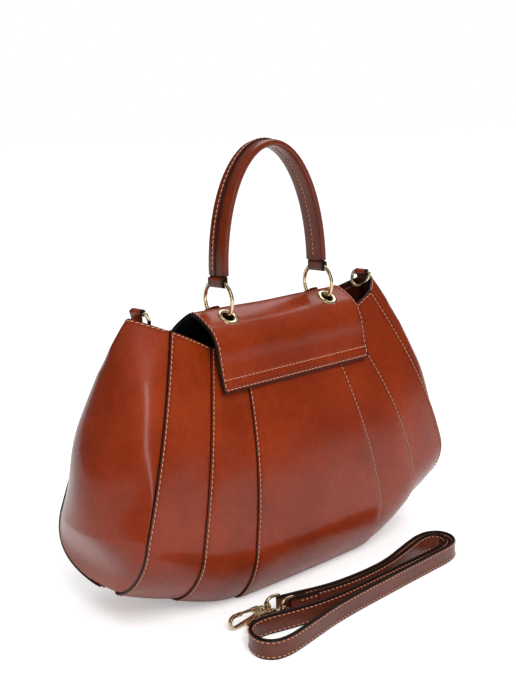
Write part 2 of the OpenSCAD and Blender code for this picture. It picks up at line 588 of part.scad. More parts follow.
module gate(s) {
    color(gold) at_hook(s) translate([0, 0, -gate_t/2]) linear_extrude(gate_t) difference() {
        polygon([[pivot[0]-1.4, pivot[1]-1.2], [pivot[0], pivot[1]-1.7], [18, 2.7], [24.6, 3.9], [27.8, 4.2],
            [27.8, 5.7], [24.4, 6], [17, 5.3], [12.4, 4.9], [pivot[0]-0.6, pivot[1]+1.5]]);
        translate(pivot) circle(0.86, $fn = 24);
    }
}

module left_of() { mirror([1, 0, 0]) children(); }

centre_panel();
left_of() inner_panel();  // inner_panel_left
inner_panel();  // inner_panel_right
left_of() outer_panel();  // outer_panel_left
outer_panel();  // outer_panel_right
left_of() gusset();  // gusset_left
gusset();  // gusset_right
lining();
base_board();
flap_root();
body_magnet();
left_of() ear_ring_tab();  // dring_tab_left
ear_ring_tab();  // dring_tab_right
flap();
flap_lining();
flap_magnet();
eyelets();
eyelet_washers();
left_of() handle_ring();  // ring_left
handle_ring();  // ring_right
handle_cover();
handle_core();
left_of() handle_loop();  // handle_loop_left
handle_loop();  // handle_loop_right
left_of() ear_ring();  // dring_left
ear_ring();  // dring_right
strap_band();
strap_tab(end_a);  // strap_tab_a
strap_tab(end_b);  // strap_tab_b
bow(end_a);  // bow_a
bow(end_b);  // bow_b
hook(hook_a_set);  // hook_a
hook(hook_b_set);  // hook_b
gate(hook_a_set);  // gate_a
gate(hook_b_set);  // gate_b
hook_pins(hook_a_set);  // hook_pins_a
hook_pins(hook_b_set);  // hook_pins_b
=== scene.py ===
# %% [markdown]
# # A trapeze bag in glazed cognac leather
# The bag stands on its flat base with its shoulder strap lying in front of it. Its shell is five
# leather strips that run down the front, under the base and up the back, each more central strip
# lapped over the next one outwards, and two end panels that swell out between them. A flap comes
# over from the back and carries a padded arch handle on two rings.
#
# Lengths in the code are millimetres, as a leather worker would measure them. +X is the bag's right
# as someone facing it sees it, the front faces -Y, and the base rests on z = 0.

import bpy
import numpy as np
from mathutils import Matrix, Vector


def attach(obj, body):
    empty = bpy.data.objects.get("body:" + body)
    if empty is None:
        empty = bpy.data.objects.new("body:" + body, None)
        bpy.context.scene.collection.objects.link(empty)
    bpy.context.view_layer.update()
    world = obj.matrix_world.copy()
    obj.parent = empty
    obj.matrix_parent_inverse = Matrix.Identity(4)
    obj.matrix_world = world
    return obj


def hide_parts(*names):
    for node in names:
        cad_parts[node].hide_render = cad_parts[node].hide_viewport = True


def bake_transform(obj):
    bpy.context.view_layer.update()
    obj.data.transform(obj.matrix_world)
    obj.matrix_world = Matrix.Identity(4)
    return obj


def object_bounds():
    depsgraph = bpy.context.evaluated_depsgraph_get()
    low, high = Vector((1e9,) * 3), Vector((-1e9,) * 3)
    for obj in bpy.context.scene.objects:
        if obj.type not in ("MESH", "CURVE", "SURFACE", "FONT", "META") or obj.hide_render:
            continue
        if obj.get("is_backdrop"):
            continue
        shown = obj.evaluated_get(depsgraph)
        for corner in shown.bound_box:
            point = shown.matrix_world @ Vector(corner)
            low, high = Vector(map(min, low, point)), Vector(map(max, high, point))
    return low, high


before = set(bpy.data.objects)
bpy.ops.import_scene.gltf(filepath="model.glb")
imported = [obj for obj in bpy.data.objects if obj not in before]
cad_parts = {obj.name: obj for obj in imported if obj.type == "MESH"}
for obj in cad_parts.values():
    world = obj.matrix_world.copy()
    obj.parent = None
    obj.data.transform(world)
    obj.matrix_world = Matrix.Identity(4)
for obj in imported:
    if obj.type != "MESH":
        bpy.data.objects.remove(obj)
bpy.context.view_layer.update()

# %% [markdown]
# The camera looks at the front and the left end from about twelve degrees above the floor. Its place
# follows from the seams, rings and feet whose pixels and heights are known, so it comes before any
# leather. The picture is 516 by 688 pixels and the focal length is 1125 of those pixels.

# %% Camera
eye = np.array([-675.3, -714.8, 406.6])
towards_eye = np.array([-0.67025493, -0.71446074, 0.20075901])
picture_right = np.array([0.7238366, -0.68905266, -0.03559505])
picture_up = np.cross(towards_eye, picture_right)
lens = bpy.data.cameras.new("camera")
lens.sensor_fit = "HORIZONTAL"
lens.sensor_width = 36.0
lens.lens = 36.0 * 1124.9 / 516
lens.clip_end = 20.0
camera = bpy.data.objects.new("camera", lens)
bpy.context.scene.collection.objects.link(camera)
turn = Matrix([list(row) for row in np.column_stack([picture_right, picture_up, towards_eye])])
camera.matrix_world = Matrix.Translation([float(v) / 1000 for v in eye]) @ turn.to_4x4()
bpy.context.scene.camera = camera
print("camera at", eye, "mm, focal length", round(lens.lens, 2), "mm on a 36 mm sensor")

# %% [markdown]
# ## Tools of the bench
# A piece of leather is cut as a sheet with two good edges. It is worked as a grid of points on its
# outer face, with a matching grid on the flesh side that shares the border points, so the sheet is
# one closed skin. Towards the border the thickness falls away as a half round, which is how a painted
# edge looks after it has been filed and coloured.

# %% Grids of points become closed skins
def grid_faces(idx, flip=False):
    """Quads between neighbouring rows and columns of a grid of point numbers; flip turns them over."""
    q = np.stack([idx[:-1, :-1], idx[:-1, 1:], idx[1:, 1:], idx[1:, :-1]], -1).reshape(-1, 4)
    return q[:, ::-1] if flip else q


def signed_volume(points, faces):
    """Sum of the tetrahedra between the origin and each quad's two triangles; positive if faces look out."""
    a, b, c, d = (points[faces[:, i]] for i in range(4))
    t = np.einsum("ij,ij->i", a, np.cross(b, c)) + np.einsum("ij,ij->i", a, np.cross(c, d))
    return t.sum() / 6


def part(points, faces, finish, cut, edge):
    """One closed skin: its points, quads, a finish number for each quad, the flat-pattern place of each
    quad corner in metres, and the distance of each point from the nearest painted edge in millimetres."""
    if signed_volume(points, faces) < 0:
        faces, cut = faces[:, ::-1], cut[:, ::-1]
    return dict(points=points, faces=faces, finish=finish, cut=cut, edge=edge)


def piece(name, parts, finishes, body, nodes=()):
    """Joins the parts into one object that rides on a body and stands for the CAD nodes it is named for."""
    start = np.cumsum([0] + [len(p["points"]) for p in parts])
    points = np.concatenate([p["points"] for p in parts]) / 1000
    faces = np.concatenate([p["faces"] + s for p, s in zip(parts, start)])
    cut = np.concatenate([p["cut"] for p in parts])
    mesh = bpy.data.meshes.new(name)
    mesh.vertices.add(len(points))
    mesh.vertices.foreach_set("co", points.ravel())
    mesh.loops.add(faces.size)
    mesh.loops.foreach_set("vertex_index", faces.ravel())
    mesh.polygons.add(len(faces))
    mesh.polygons.foreach_set("loop_start", np.arange(len(faces)) * 4)
    mesh.polygons.foreach_set("loop_total", np.full(len(faces), 4))
    mesh.update(calc_edges=True)
    mesh.polygons.foreach_set("use_smooth", np.ones(len(faces), bool))
    mesh.polygons.foreach_set("material_index", np.concatenate([p["finish"] for p in parts]))
    layer = mesh.uv_layers.new(name="cut")
    layer.data.foreach_set("uv", cut.astype(np.float32).ravel())
    mark = mesh.attributes.new("edge", "FLOAT", "POINT")
    mark.data.foreach_set("value", np.concatenate([p["edge"] for p in parts]).astype(np.float32))
    mesh.validate()
    for finish in finishes:
        mesh.materials.append(finish)
    obj = bpy.data.objects.new(name, mesh)
    bpy.context.scene.collection.objects.link(obj)
    if body:
        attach(obj, body)
    if nodes:
        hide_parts(*nodes)
    print(f"{name}: {len(points)} points, {len(faces)} faces")
    return obj


def unit(v):
    """Each vector divided by its own length."""
    return v / np.maximum(np.linalg.norm(v, axis=-1, keepdims=True), 1e-12)


def sheet(face, normal, depth, thick, lift=0.0, paint=0.8, finishes=(0, 1, 2), cut=None):
    """A sheet of leather from a grid of points on its outer face, in millimetres.
    Its middle lies half a thickness under the face along the normal. At a distance d from the border the
    half thickness is that of a half round of the same radius, and lift raises the outer side.
    finishes are the grain side, the painted edge and the flesh side; cut is the flat-pattern place."""
    rows, cols = face.shape[:2]
    half = np.broadcast_to(np.asarray(thick, float) / 2, depth.shape)
    x = np.clip(1 - depth / half, 0, 1)
    h = (half * np.sqrt(np.clip(1 - x * x, 0, 1)))[..., None]
    middle = face - normal * half[..., None]
    fade = np.clip(depth / half, 0, 1)
    outer = middle + normal * (h + (lift * fade)[..., None] if np.ndim(lift) else h)
    inner = middle - normal * h
    idx = np.arange(rows * cols).reshape(rows, cols)
    back = idx.copy()
    back[1:-1, 1:-1] = rows * cols + np.arange((rows - 2) * (cols - 2)).reshape(rows - 2, cols - 2)
    points = np.concatenate([outer.reshape(-1, 3), inner[1:-1, 1:-1].reshape(-1, 3)])
    edge = np.concatenate([depth.ravel(), depth[1:-1, 1:-1].ravel()])
    faces = np.concatenate([grid_faces(idx), grid_faces(back, True)])
    at = grid_faces(idx)
    both = np.concatenate([at, at[:, ::-1]])
    near = depth.ravel()[both].mean(1) < half.min() * paint
    finish = np.where(near, finishes[1], np.repeat([finishes[0], finishes[2]], len(at)))
    cut = cut if cut is not None else np.zeros((rows, cols, 2))
    return part(points, faces, finish, cut.reshape(-1, 2)[both], edge)


def ladder(length, step, fine=(0.0, 0.12, 0.35, 0.65, 1.0, 1.6, 2.4, 3.2, 4.0, 5.2)):
    """Distances along a length, close together near both ends and a step apart between."""
    fine = [f for f in fine if f < length / 2 - 0.5]
    count = max(2, int((length - 2 * fine[-1]) / step))
    middle = np.linspace(fine[-1], length - fine[-1], count + 1)[1:-1]
    return np.concatenate([fine, middle, length - np.array(fine[::-1])])


def lengths(line):
    """Distance along a line of points from its first point to each."""
    return np.concatenate([[0], np.cumsum(np.linalg.norm(np.diff(line, axis=0), axis=1))])


def along(line, places):
    """Points on a line at distances along it."""
    run = lengths(line)
    return np.column_stack([np.interp(places, run, line[:, i]) for i in range(line.shape[1])])


def ripples(points, wave, seed):
    """Slow swells over a surface: eight sine waves of about one length in fixed random directions."""
    rng = np.random.default_rng(seed)
    d = unit(rng.normal(size=(8, 3))) * (2 * np.pi / (wave * rng.uniform(0.7, 1.5, 8)))[:, None]
    return np.sin(points @ d.T + rng.uniform(0, 6.28, 8)).sum(-1) / 8 ** 0.5


def smooth(x):
    """Rises from 0 to 1 with level ends as x goes from 0 to 1."""
    x = np.clip(x, 0, 1)
    return x * x * (3 - 2 * x)


def mix(a, b, t):
    """The value a share t of the way from a to b."""
    return a + (b - a) * t


# %% [markdown]
# Every seam is sewn with the same light thread, about six stitches to the inch. Each stitch comes up
# out of one hole and goes down the next, so it is a short rod that is proud in the middle and sinks at
# both ends, lying a few degrees off the seam's own line.

# %% Stitches
pitch = 4.3


def stitches(line, normal, slant=7.0, length=3.5, radius=0.44):
    """Stitches along a line of points on a surface with the surface's normals.
    One stands at each pitch. Its rings follow a low arch: height falls with the fourth power of the
    place along it, and its radius narrows towards both ends, so each stitch is closed by its last rings."""
    run = lengths(line)
    count = max(1, int(run[-1] / pitch))
    places = (np.arange(count) + 0.5) * run[-1] / count
    middle = np.column_stack([np.interp(places, run, line[:, i]) for i in range(3)])
    ahead = unit(along(line, np.minimum(places + 0.8, run[-1])) - along(line, np.maximum(places - 0.8, 0)))
    up = unit(np.column_stack([np.interp(places, run, normal[:, i]) for i in range(3)]))
    side = unit(np.cross(ahead, up))
    up = np.cross(side, ahead)
    angle = np.radians(slant)
    lie = ahead * np.cos(angle) + side * np.sin(angle)
    over = np.cross(lie, up)
    u = np.array([-1, -0.93, -0.75, -0.4, 0, 0.4, 0.75, 0.93, 1])
    r = radius * np.array([0.05, 0.6, 0.9, 1, 1, 1, 0.9, 0.6, 0.05])
    high = 0.3 - 0.75 * np.abs(u) ** 4
    turn = np.arange(6) * np.pi / 3
    ring = (
        lie[:, None, None] * (u * length / 2)[None, :, None, None]
        + up[:, None, None] * (high[:, None] + r[:, None] * np.cos(turn))[None, :, :, None]
        + over[:, None, None] * (r[:, None] * np.sin(turn) * 1.1)[None, :, :, None]
    )
    points = (middle[:, None, None] + ring).reshape(-1, 3)
    idx = np.arange(len(u) * 6).reshape(len(u), 6)
    idx = np.hstack([idx, idx[:, :1]])
    one = grid_faces(idx)
    lids = np.array([[0, 1, 2, 3], [0, 3, 4, 5]])
    last = (len(u) - 1) * 6
    one = np.concatenate([one, lids[:, ::-1], last + lids])
    faces = (one[None] + (np.arange(count) * len(u) * 6)[:, None, None]).reshape(-1, 4)
    cut = np.zeros((len(faces), 4, 2))
    along_it = (u * length / 2000).repeat(6)[one % (len(u) * 6)]
    cut[..., 0] = np.broadcast_to(along_it, (count,) + one.shape).reshape(-1, 4)
    return part(points, faces, np.zeros(len(faces), int), cut, np.full(len(points), 9.0))


# %% [markdown]
# Metal comes as drawn wire and as turned rings. A wire is a circle carried along a flat line, and a
# turned piece is a profile carried round an axis, as a lathe would leave it.

# %% Wire and turned metal
def tube(line, across, radius, closed=False, sides=20, flat=1.0):
    """A round wire along a line that lies in a plane. across is the plane's normal for each point or for
    all; the ring of each point lies in that normal and the one at right angles to it and to the line.
    Open ends are closed by three shrinking rings, as a rounded tip."""
    n = len(line)
    if closed:
        ahead = unit(np.roll(line, -1, 0) - np.roll(line, 1, 0))
    else:
        ahead = unit(np.gradient(line, axis=0))
    across = np.broadcast_to(unit(np.asarray(across, float)), line.shape)
    other = unit(np.cross(ahead, across))
    turn = np.arange(sides) * 2 * np.pi / sides
    radius = np.broadcast_to(radius, n).astype(float)
    centre, rad = line, radius
    if not closed:
        tip = np.array([0.999, 0.9, 0.65])
        out = np.sqrt(1 - (1 - tip) ** 2)
        shrink = np.sqrt(np.clip(1 - tip ** 2, 0, 1))
        first = line[0] - ahead[0] * (radius[0] * tip)[:, None]
        last = line[-1] + ahead[-1] * (radius[-1] * tip[::-1])[:, None]
        centre = np.concatenate([first, line, last])
        rad = np.concatenate([radius[0] * shrink, radius, radius[-1] * shrink[::-1]])
        across = np.concatenate([across[:1].repeat(3, 0), across, across[-1:].repeat(3, 0)])
        other = np.concatenate([other[:1].repeat(3, 0), other, other[-1:].repeat(3, 0)])
    ring = (
        across[:, None] * (rad[:, None] * np.cos(turn))[..., None] * flat
        + other[:, None] * (rad[:, None] * np.sin(turn))[..., None]
    )
    points = (centre[:, None] + ring).reshape(-1, 3)
    rows = len(centre)
    idx = np.arange(rows * sides).reshape(rows, sides)
    idx = np.hstack([idx, idx[:, :1]])
    if closed:
        idx = np.vstack([idx, idx[:1]])
    faces = grid_faces(idx)
    if not closed:
        k = np.arange(0, sides // 2 - 1)
        lid = np.column_stack([k, k + 1, sides - 2 - k, sides - 1 - k])
        faces = np.concatenate([faces, lid[:, ::-1], lid + (rows - 1) * sides])
    cut = np.zeros((len(faces), 4, 2))
    return part(points, faces, np.zeros(len(faces), int), cut, np.full(len(points), 9.0))


def turned(profile, sides=64):
    """A closed profile of radius and height pairs carried round the z axis."""
    profile = np.asarray(profile, float)
    turn = np.arange(sides) * 2 * np.pi / sides
    points = np.stack(
        [
            profile[:, None, 0] * np.cos(turn),
            profile[:, None, 0] * np.sin(turn),
            np.broadcast_to(profile[:, None, 1], (len(profile), sides)),
        ],
        -1,
    ).reshape(-1, 3)
    idx = np.arange(len(profile) * sides).reshape(-1, sides)
    idx = np.hstack([idx, idx[:, :1]])
    idx = np.vstack([idx, idx[:1]])
    faces = grid_faces(idx)
    cut = np.zeros((len(faces), 4, 2))
    return part(points, faces, np.zeros(len(faces), int), cut, np.full(len(points), 9.0))


def bead(cx, cy, rx, ry, count=16, start=0.0, end=360.0):
    """Points of an oval or a part of one, for the rounded corners of a turned profile."""
    a = np.radians(np.linspace(start, end, count))
    return np.column_stack([cx + rx * np.cos(a), cy + ry * np.sin(a)])


def placed(p, turn, at):
    """The same part turned by a matrix and moved to a place."""
    return dict(p, points=p["points"] @ np.asarray(turn).T + np.asarray(at))


def turn_x(deg):
    """Matrix of a turn about the x axis."""
    c, s = np.cos(np.radians(deg)), np.sin(np.radians(deg))
    return np.array([[1, 0, 0], [0, c, -s], [0, s, c]])


def turn_y(deg):
    """Matrix of a turn about the y axis."""
    c, s = np.cos(np.radians(deg)), np.sin(np.radians(deg))
    return np.array([[c, 0, s], [0, 1, 0], [-s, 0, c]])


def turn_z(deg):
    """Matrix of a turn about the z axis."""
    c, s = np.cos(np.radians(deg)), np.sin(np.radians(deg))
    return np.array([[c, -s, 0], [s, c, 0], [0, 0, 1]])


def mirrored(p):
    """The left-hand twin of a right-hand part: x changes sign and the faces turn over."""
    points = p["points"] * [-1, 1, 1]
    return dict(p, points=points, faces=p["faces"][:, ::-1], cut=p["cut"][:, ::-1])


# %% [markdown]
# ## Finishes
# The hide is a smooth, glazed calf: aniline colour that pools a little darker in places, a fine grain
# that only shows where light grazes it, and a thin coat of polish over it. Edges that are pressed by a
# foot or a hammer near the seam turn darker. All of it is worked out from places on the piece itself.

# %% Finishes
def finish_nodes(name):
    """A new finish with a principled shader, and helpers that add a node and link two sockets."""
    made = bpy.data.materials.new(name)
    made.use_nodes = True
    tree = made.node_tree
    tree.nodes.clear()
    out = tree.nodes.new("ShaderNodeOutputMaterial")
    shade = tree.nodes.new("ShaderNodeBsdfPrincipled")
    tree.links.new(shade.outputs["BSDF"], out.inputs["Surface"])

    def add(kind, **values):
        node = tree.nodes.new(kind)
        for key, value in values.items():
            if key in node.inputs:
                node.inputs[key].default_value = value
            else:
                setattr(node, key, value)
        return node

    return made, shade, add, tree.links.new


def ramp(add, stops):
    """A colour ramp with the given places and colours."""
    node = add("ShaderNodeValToRGB")
    while len(node.color_ramp.elements) < len(stops):
        node.color_ramp.elements.new(0.5)
    for element, (place, colour) in zip(node.color_ramp.elements, stops):
        element.position = place
        element.color = (*colour, 1.0)
    return node


def hide(name, deep, middle, light, rough=(0.24, 0.33), coat=0.4, grain=0.06, worn=0.5):
    """Glazed leather. Colour goes from deep to light by two scales of noise and darkens by the edge
    distance; roughness follows a third noise; the bump is fine pebble grain plus faint long creases."""
    made, shade, add, link = finish_nodes(name)
    place = add("ShaderNodeTexCoord")
    broad = add("ShaderNodeTexNoise", Scale=14.0, Detail=3.0, Roughness=0.5)
    small = add("ShaderNodeTexNoise", Scale=160.0, Detail=4.0, Roughness=0.6)
    for node in (broad, small):
        link(place.outputs["Object"], node.inputs["Vector"])
    both = add("ShaderNodeMix", data_type="FLOAT")
    both.inputs["Factor"].default_value = 0.3
    link(broad.outputs["Fac"], both.inputs["A"])
    link(small.outputs["Fac"], both.inputs["B"])
    tone = ramp(add, [(0.32, deep), (0.5, middle), (0.68, light)])
    link(both.outputs["Result"], tone.inputs["Fac"])
    near = add("ShaderNodeAttribute", attribute_name="edge")
    span = add("ShaderNodeMapRange")
    for key, value in (("From Min", 0.8), ("From Max", 6.0), ("To Min", 1.0 - worn), ("To Max", 1.0)):
        span.inputs[key].default_value = value
    link(near.outputs["Fac"], span.inputs["Value"])
    dark = add("ShaderNodeMix", data_type="RGBA", blend_type="MULTIPLY")
    dark.inputs["Factor"].default_value = 1.0
    link(tone.outputs["Color"], dark.inputs["A"])
    link(span.outputs["Result"], dark.inputs["B"])
    link(dark.outputs["Result"], shade.inputs["Base Color"])
    dull = add("ShaderNodeTexNoise", Scale=60.0, Detail=3.0)
    link(place.outputs["Object"], dull.inputs["Vector"])
    sheen = add("ShaderNodeMapRange")
    sheen.inputs["From Min"].default_value = 0.3
    sheen.inputs["From Max"].default_value = 0.7
    sheen.inputs["To Min"].default_value = rough[0]
    sheen.inputs["To Max"].default_value = rough[1]
    link(dull.outputs["Fac"], sheen.inputs["Value"])
    link(sheen.outputs["Result"], shade.inputs["Roughness"])
    pebble = add("ShaderNodeTexVoronoi", Scale=1100.0, feature="SMOOTH_F1")
    link(place.outputs["Object"], pebble.inputs["Vector"])
    crease = add("ShaderNodeTexNoise", Scale=420.0, Detail=5.0, Roughness=0.65)
    link(place.outputs["Object"], crease.inputs["Vector"])
    relief = add("ShaderNodeMix", data_type="FLOAT")
    relief.inputs["Factor"].default_value = 0.5
    link(pebble.outputs["Distance"], relief.inputs["A"])
    link(crease.outputs["Fac"], relief.inputs["B"])
    bump = add("ShaderNodeBump", Strength=grain, Distance=0.0006)
    link(relief.outputs["Result"], bump.inputs["Height"])
    link(bump.outputs["Normal"], shade.inputs["Normal"])
    shade.inputs["Coat Weight"].default_value = coat
    shade.inputs["Specular IOR Level"].default_value = 0.25
    shade.inputs["Coat Roughness"].default_value = 0.16
    shade.inputs["Coat IOR"].default_value = 1.45
    return made


def plain(name, deep, light, rough, metal=0.0, scale=200.0, bump_by=0.1, coat=0.0, size=0.0003, shine=0.5):
    """A finish whose colour and roughness wander a little by one noise, with a bump of the same noise."""
    made, shade, add, link = finish_nodes(name)
    place = add("ShaderNodeTexCoord")
    noise = add("ShaderNodeTexNoise", Scale=scale, Detail=4.0, Roughness=0.6)
    link(place.outputs["Object"], noise.inputs["Vector"])
    tone = ramp(add, [(0.35, deep), (0.65, light)])
    link(noise.outputs["Fac"], tone.inputs["Fac"])
    link(tone.outputs["Color"], shade.inputs["Base Color"])
    sheen = add("ShaderNodeMapRange")
    sheen.inputs["From Min"].default_value = 0.3
    sheen.inputs["From Max"].default_value = 0.7
    sheen.inputs["To Min"].default_value = rough[0]
    sheen.inputs["To Max"].default_value = rough[1]
    link(noise.outputs["Fac"], sheen.inputs["Value"])
    link(sheen.outputs["Result"], shade.inputs["Roughness"])
    bump = add("ShaderNodeBump", Strength=bump_by, Distance=size)
    link(noise.outputs["Fac"], bump.inputs["Height"])
    link(bump.outputs["Normal"], shade.inputs["Normal"])
    shade.inputs["Metallic"].default_value = metal
    shade.inputs["Specular IOR Level"].default_value = shine
    shade.inputs["Coat Weight"].default_value = coat
    return made


def thread(name, deep, light):
    """Waxed thread: a two-ply twist, drawn as slanting bands along each stitch's own length."""
    made, shade, add, link = finish_nodes(name)
    place = add("ShaderNodeUVMap", uv_map="cut")
    twist = add("ShaderNodeTexWave", Scale=520.0, Distortion=0.4)
    link(place.outputs["UV"], twist.inputs["Vector"])
    tone = ramp(add, [(0.2, deep), (0.7, light)])
    link(twist.outputs["Fac"], tone.inputs["Fac"])
    link(tone.outputs["Color"], shade.inputs["Base Color"])
    bump = add("ShaderNodeBump", Strength=0.4, Distance=0.0002)
    link(twist.outputs["Fac"], bump.inputs["Height"])
    link(bump.outputs["Normal"], shade.inputs["Normal"])
    shade.inputs["Roughness"].default_value = 0.6
    return made


cognac = hide("cognac_hide", (0.15, 0.015, 0.002), (0.20, 0.021, 0.003), (0.26, 0.031, 0.005))
strap_hide = hide("strap_hide", (0.085, 0.020, 0.011), (0.11, 0.026, 0.014), (0.14, 0.036, 0.02), worn=0.3)
flesh = hide(
    "flesh_side", (0.06, 0.014, 0.007), (0.085, 0.02, 0.01), (0.11, 0.027, 0.013), (0.6, 0.75), 0.0, 0.3, 0.0
)
lining_hide = hide("lining_hide", (0.09, 0.014, 0.008), (0.12, 0.02, 0.012), (0.15, 0.027, 0.016), worn=0.0)
edge_paint = plain(
    "edge_paint", (0.004, 0.002, 0.0015), (0.009, 0.004, 0.003), (0.3, 0.42),
    scale=900.0, bump_by=0.25, shine=0.25,
)
flap_back = plain(
    "flap_backing", (0.008, 0.007, 0.007), (0.014, 0.012, 0.012), (0.5, 0.65), scale=1500.0, bump_by=0.4
)
thread_tan = thread("thread_tan", (0.40, 0.14, 0.075), (0.64, 0.28, 0.17))
gold = plain(
    "pale_gold", (0.78, 0.62, 0.38), (0.86, 0.70, 0.47), (0.1, 0.2), metal=1.0, scale=90.0, bump_by=0.03
)
steel = plain("magnet_steel", (0.5, 0.5, 0.5), (0.6, 0.6, 0.61), (0.25, 0.4), metal=1.0, scale=300.0)
card = plain("stiffener_card", (0.2, 0.15, 0.09), (0.28, 0.22, 0.14), (0.7, 0.85), scale=500.0, bump_by=0.3)
# The handle and its loops are the same cognac hide as the shell; this darker copy of it is painted shade, for
# the dim surroundings their faces reflect.
handle_shade_hide = hide("handle_hide_painted_shade", (0.09, 0.011, 0.002), (0.125, 0.016, 0.003), (0.16, 0.022, 0.005))
leathers = [cognac, edge_paint, flesh]
handle_shaded_leathers = [handle_shade_hide, edge_paint, flesh]
print("finishes made:", len(bpy.data.materials))

# %% [markdown]
# ## The shell's shape
# The shell is drawn by four seams on each half: the middle, the inner seam, the outer seam and the end
# seam. Each one leaves the mouth sloping, swells to the belly, turns under at the foot and runs flat to
# the keel, and the back repeats the front. A bag maker would cut a card for each strip from these.

# %% Seam lines and the surface through them
mouth_x = np.array([0, 54, 82, 122.0])
belly_x = np.array([0, 79.5, 133, 184.0])
foot_x = np.array([0, 79, 132, 184.0])
keel_x = np.array([0, 75, 131, 176.0])
bow = np.array([0, 0, 8, 4.0])
mouth_depth = np.array([38, 35.5, 26, 23.5])
mouth_z = np.array([200, 204, 221, 240.0])
belly_depth = np.array([71, 70, 66, 58.5])
belly_z = np.array([52, 54, 68, 85.0])
foot_depth = np.array([40, 38.5, 20, 13.0])
foot_z = np.array([0, 0, 10.5, 31.0])
back_tuck = np.array([8, 8, 8, 0.0])
back_fullness = np.array([0, 0, 3, 10.0])
keel = 3.0
skin = 2.0
glue = 0.08
lap = 8.0
under = -(skin + glue)


def bez2(a, b, c, t):
    """Curve from a to c pulled towards b."""
    return (1 - t) ** 2 * a + 2 * (1 - t) * t * b + t * t * c


def bez3(a, b, c, d, t):
    """Curve from a to d pulled towards b and then c."""
    return (1 - t) ** 3 * a + 3 * (1 - t) ** 2 * t * b + 3 * (1 - t) * t * t * c + t ** 3 * d


def seam_lines(t):
    """All four seams at places t, which run 0 mouth, 1 belly, 2 foot, 3 keel, then 4 to 6 up the back.
    The first array index is the seam. Three curves are joined end to end: a sloping one down to the
    belly, one that leaves upright and lands level at the foot, and a flat one to the keel. The back
    sags outwards below the belly by a squared cosine hump."""
    t = np.asarray(t, float)[None]
    shape = (4,) + (1,) * (t.ndim - 1)
    k = lambda a: a.reshape(shape)
    u = np.where(t > keel, 2 * keel - t, t)
    a, b, c = (np.clip(u - i, 0, 1) for i in range(3))
    x0, x1, x2 = k(mouth_x), k(belly_x), k(foot_x)
    d0, d1, d2 = k(mouth_depth), k(belly_depth), k(foot_depth)
    z0, z1, z2 = k(mouth_z), k(belly_z), k(foot_z)
    ease = (x1 - x0) / 12
    x = np.where(u < 1, bez2(x0, (x0 + x1) / 2 + k(bow), x1, a), bez3(x1, x1 + ease, x2, x2, b))
    x = np.where(u > 2, mix(x2, k(keel_x), c * c * (3 - 2 * c)), x)
    y = np.where(u < 1, bez3(d0, mix(d0, d1, 0.6), d1, d1, a), bez3(d1, d1, mix(d2, d1, 0.22), d2, b))
    y = np.where(u > 2, d2 * (1 - c), y)
    upper = bez3(z0, mix(z0, z1, 0.33), mix(z1, z0, 0.37), z1, a)
    z = np.where(u < 1, upper, bez3(z1, mix(z1, z2, 0.59), z2, z2, b))
    tuck = k(back_tuck) * np.clip((t - 5.2) / 0.8, 0, None) ** 2
    hump = np.cos(np.radians(90) * np.clip((u - 1.42) / 0.6, -1, 1)) ** 2 * k(back_fullness) * (t > keel)
    y = np.where(t > keel, y - tuck + hump, -y)
    return np.stack(np.broadcast_arrays(x, y, z - 0.2 * hump), -1)


def calm(a, b):
    """Harmonic mean of two neighbouring steps, and none where they disagree, so a curve can't overshoot."""
    return np.where(a * b > 0, 2 * a * b / np.where(np.abs(a + b) < 1e-9, 1, a + b), 0)


def shell(s, t):
    """Point of the shell at seam number s, negative on the left, and place t down the seam. Between two
    seams it is a cubic whose end slopes are the calm means of the steps between neighbouring seams."""
    s, t = np.broadcast_arrays(np.asarray(s, float), np.asarray(t, float))
    lines = seam_lines(t)
    steps = lines[1:] - lines[:-1]
    slopes = np.concatenate([steps[:1] * [1, 0, 0], calm(steps[:-1], steps[1:]), steps[2:]])
    q = np.abs(s)
    k = np.clip(np.floor(q), 0, 2).astype(int)
    h = (q - k)[..., None]
    pick = lambda a, i: np.take_along_axis(a, i[None, ..., None], 0)[0]
    p0, p1, m0, m1 = pick(lines, k), pick(lines, k + 1), pick(slopes, k), pick(slopes, k + 1)
    p = p0 * (2 * h ** 3 - 3 * h * h + 1) + m0 * (h ** 3 - 2 * h * h + h)
    p = p + p1 * (3 * h * h - 2 * h ** 3) + m1 * (h ** 3 - h * h)
    p[..., 0] *= np.where(s < 0, -1, 1)
    return p


def shell_normal(s, t):
    """Outward direction of the shell from its slopes across and along the seams."""
    e = 0.02
    s, t = np.broadcast_arrays(np.asarray(s, float), np.asarray(t, float))
    a = np.clip(s, -3 + e, 3 - e)
    b = np.clip(t, e, 2 * keel - e)
    return unit(np.cross(shell(a + e, b) - shell(a - e, b), shell(a, b - e) - shell(a, b + e)))


def lap_in(k, t):
    """Place of the line a lap's width inside seam k."""
    lines = seam_lines(t)
    return k - lap / np.linalg.norm(lines[k] - lines[k - 1], axis=-1)


widths = np.linalg.norm(np.diff(seam_lines(np.array([1.0]))[:, 0], axis=0), axis=1)
print("strip widths at the belly, middle to end, mm:", widths.round(1))

# %% [markdown]
# ## The five strips
# The middle strip lies on top of both its neighbours, and each of those lies on the outer strip. A
# painted edge shows along every seam on the side away from the middle, and the stitches run a little
# over two millimetres inside it. The leather sinks slightly into a channel under the thread.

# %% Five strips
edge_in = 2.4


def channel(distance, depth=0.22):
    """How far the leather is pulled in by the thread at a distance from the stitch line."""
    return -depth * np.exp(-((distance / 0.9) ** 2))


